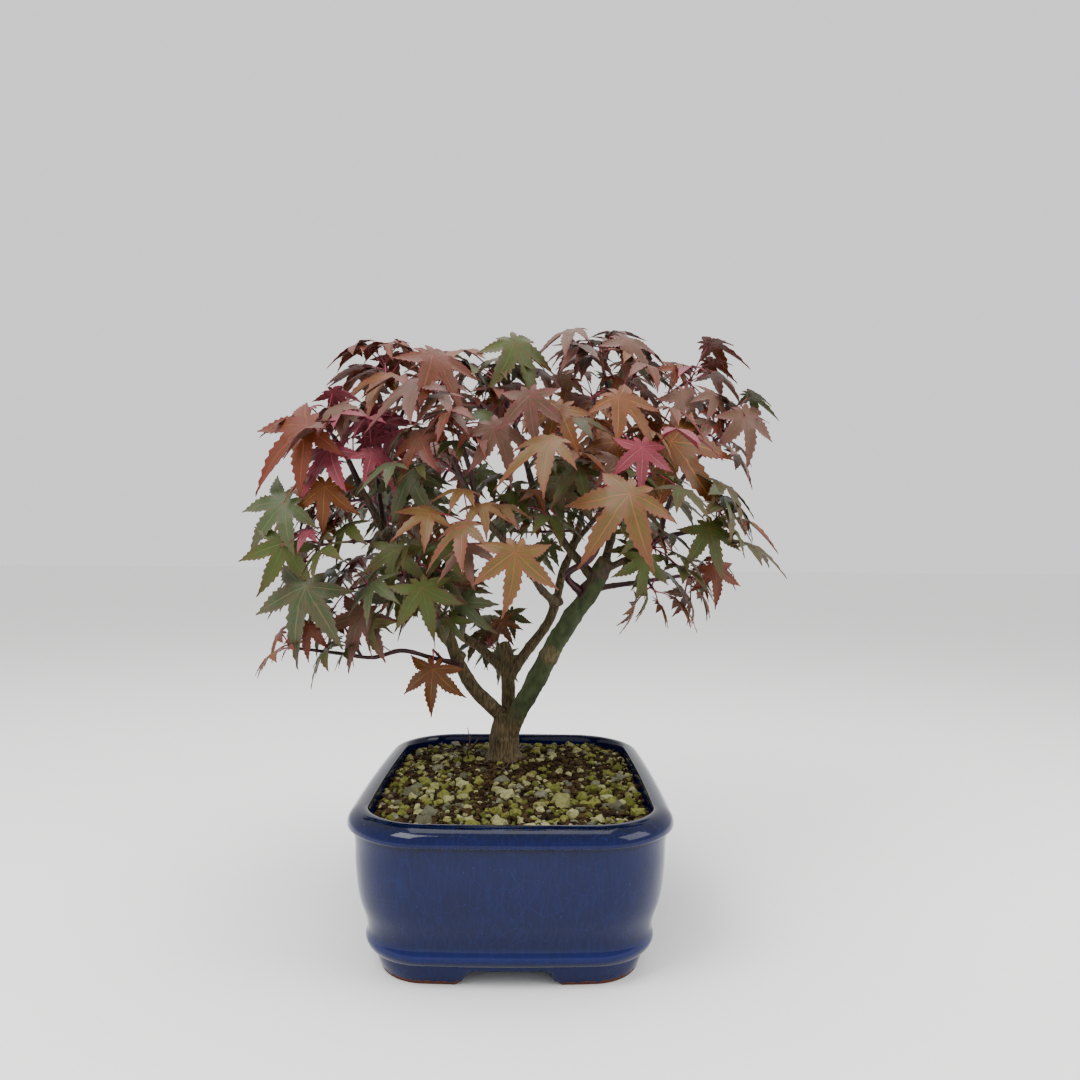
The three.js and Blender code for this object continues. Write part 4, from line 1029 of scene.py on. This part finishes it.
def grown(corners, pose_at):
    """The pose that the part grew this leaf in, found by its hub among the node's corners, or None."""
    for attempt in range(ATTEMPTS):
        leaf = pose_at(attempt)
        if corners.find(place(leaf["hub"]))[2] < 0.06 * MM:
            return leaf
    return None


def corners_of(node):
    """A CAD node's corners, to look up by their place."""
    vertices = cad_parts[node].data.vertices
    tree = KDTree(len(vertices))
    for index, vertex in enumerate(vertices):
        tree.insert(vertex.co, index)
    tree.balance()
    return tree


def lay_leaf(shape, leaf, shade):
    """One copy of a leaf shape at its own place, turned and sized."""
    copy = shape.copy()
    copy.data = copy.data.copy()
    across = leaf["normal"].cross(leaf["tip"])
    turned = Matrix((leaf["tip"], across, leaf["normal"])).transposed().to_4x4()
    turned = turned @ Matrix.Rotation(0.5 * (shade - 0.5), 4, "X")
    size = Matrix.Scale(leaf["length"] * MM, 4)
    copy.data.transform(Matrix.Translation(place(leaf["hub"])) @ turned @ size)
    tint(copy, [shade] * len(copy.data.vertices))
    bpy.context.collection.objects.link(copy)
    return copy


def stalk_route(leaf):
    """A thin stalk that leaves the shoot, rises a little and comes up under the hub."""
    end = leaf["hub"] - leaf["normal"] * 0.3
    arch = UP * 0.08 * (end - leaf["base"]).length
    points = [leaf["base"].lerp(end, share) + arch * math.sin(math.pi * share) for share in
              (0, 0.12, 0.3, 0.5, 0.7, 0.85, 0.95, 1)]
    return points, [0.72, 0.46, 0.38, 0.36, 0.36, 0.38, 0.46, 0.3]


def twig_route(start, end, seed):
    """A young shoot from its limb to its end bud, swollen at its nodes."""
    bend = noise.noise_vector(Vector((seed * 3.1, seed * 1.7, 2))) * 0.05 * (end - start).length
    points, radii = [], []
    for step in range(15):
        share = step / 14
        bent = math.sin(math.pi * (share / TIP_BUD)) if share < TIP_BUD else 0
        points.append(start.lerp(end, share) + bend * bent)
        node = math.exp(-((share - SIDE_BUD) / 0.03) ** 2) + math.exp(-((share - TIP_BUD) / 0.03) ** 2)
        radii.append(0.95 - 0.4 * share + 0.4 * node)
    radii[-1] = 0.12
    return points, radii


# A leaf may turn ahead of its shoot or lag behind it.
NEIGHBOUR_TONES = {
    "olive": ("orange", "grey_green"), "grey_green": ("olive", "mauve"), "rose": ("mauve", "rust"),
    "mauve": ("olive", "rust"), "salmon": ("olive", "mauve"), "orange": ("olive", "rust"),
    "rust": ("orange", "olive")}
FILLER_LEAVES = 5            # smaller leaves that each shoot may have besides the part's own
FILLER_GAP = 7               # between the hub of one and any other hub
LOWEST_FILLER = 105


def make_sprays():
    """Each shoot's blades as one piece, its twig and stalks as another."""
    plain = [leaf_shape(f"leaf_{seed}", seed, 4) for seed in (1, 2, 3, 4, 5)]
    fine = [leaf_shape(f"large_leaf_{seed}", seed + 20, 7) for seed in (1, 2, 3, 4)]
    blades = {tone: leaf_blade(f"waxy_maple_leaf_{tone}", *colours) for tone, colours in TONES.items()}
    twig_skin = stalk_skin("young_maroon_twig_skin", "#200b10", "#481420")
    petiole_skin = stalk_skin("crimson_leaf_stalk_skin", "#5c0f22", "#8c1c34")
    chance = random.Random(8)
    count = 0
    hubs = []
    for number, (name, shoot) in enumerate(SHOOTS.items()):
        limb, along, tip, tone, length, pairs, *prominent = shoot
        node = "leaves_" + name
        corners = corners_of(node)
        start, end = limb_routes[limb].at(along), tree_point(tip)
        seat = start.lerp(end, TIP_BUD)
        leaves = [(grown(corners, lambda attempt: prominent_leaf(seat, entry, attempt)), fine)
                  for entry in prominent]
        for pair in range(pairs):
            for side in (-1, 1):
                count += 1
                bud = SIDE_BUD if pair else TIP_BUD
                leaves.append((grown(corners, lambda attempt: paired_leaf(
                    start, end, length, tone, bud, side, count, attempt)), plain))
        leaves = [(leaf, shapes) for leaf, shapes in leaves if leaf]
        hubs += [leaf["hub"] for leaf, _ in leaves]
        for _ in range(14):
            if len(leaves) >= len(prominent) + 2 * pairs + FILLER_LEAVES or not pairs:
                break
            bud, side = chance.uniform(0.2, 0.95), chance.choice((-1, 1))
            leaf = paired_leaf(start, end, length * chance.uniform(0.62, 0.95), tone, bud, side,
                               chance.randint(200, 900), chance.randint(0, 6))
            apart = min((leaf["hub"] - hub).length for hub in hubs)
            if apart > FILLER_GAP and leaf["hub"].z > LOWEST_FILLER:
                leaves.append((leaf, plain))
                hubs.append(leaf["hub"])
        for leaf, shapes in leaves:
            if shapes is plain and chance.random() < 0.38:
                leaf["tone"] = chance.choice(NEIGHBOUR_TONES[leaf["tone"]])
        copies = []
        for leaf, shapes in leaves:
            copy = lay_leaf(chance.choice(shapes), leaf, chance.random())
            dress(copy, blades[leaf["tone"]])
            copies.append(copy)
        spray = gather("blades_" + name, copies)
        settle_in(spray, "leaf_" + tone, node)
        twig = tubes("twig_" + name, [twig_route(start, end, number)])
        dress(twig, twig_skin)
        stalks = tubes("stalks_" + name, [stalk_route(leaf) for leaf, _ in leaves])
        dress(stalks, petiole_skin)
        wood = gather("twig_and_stalks_" + name, [twig, stalks])
        smooth(wood)
        settle_in(wood, "bark", node)
    for shape in plain + fine:
        bpy.data.objects.remove(shape)


# ---- Finishes of the drainage mesh and its clips

def finish_drainage():
    plastic, wire = mesh_plastic(), wire_metal()
    for place_name in ("front", "back"):
        dress(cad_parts["drainage_mesh_" + place_name], plastic)
        dress(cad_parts["mesh_clip_" + place_name], wire)


# ---- Studio

def softbox(name, point, aim, size, power):
    """A soft area light at a point, facing another, in millimetres."""
    bpy.ops.object.light_add(type="AREA", location=place(point))
    light = bpy.context.object
    light.name = name
    light.data.size = size * MM
    light.data.energy = power
    light.rotation_euler = (Vector(aim) - Vector(point)).to_track_quat("-Z", "Y").to_euler()


def make_studio():
    select()
    bpy.ops.mesh.primitive_plane_add(size=24, location=(0, 0, 0))
    floor = bpy.context.object
    floor.name = "floor"
    dress(floor, studio_paper())
    world = bpy.data.worlds.new("studio")
    world.use_nodes = True
    world.node_tree.nodes["Background"].inputs["Color"].default_value = (1, 1, 1, 1)
    world.node_tree.nodes["Background"].inputs["Strength"].default_value = 1.1
    bpy.context.scene.world = world
    softbox("key", (-500, -500, 900), (0, 0, 120), 500, 9)
    softbox("fill", (700, -300, 500), (0, 0, 120), 500, 4)
    softbox("top", (0, 100, 1000), (0, 0, 100), 700, 6)


make_pot()
make_bed()
make_gravel()
make_rootlets()
make_wood()
make_sprays()
finish_drainage()
make_studio()
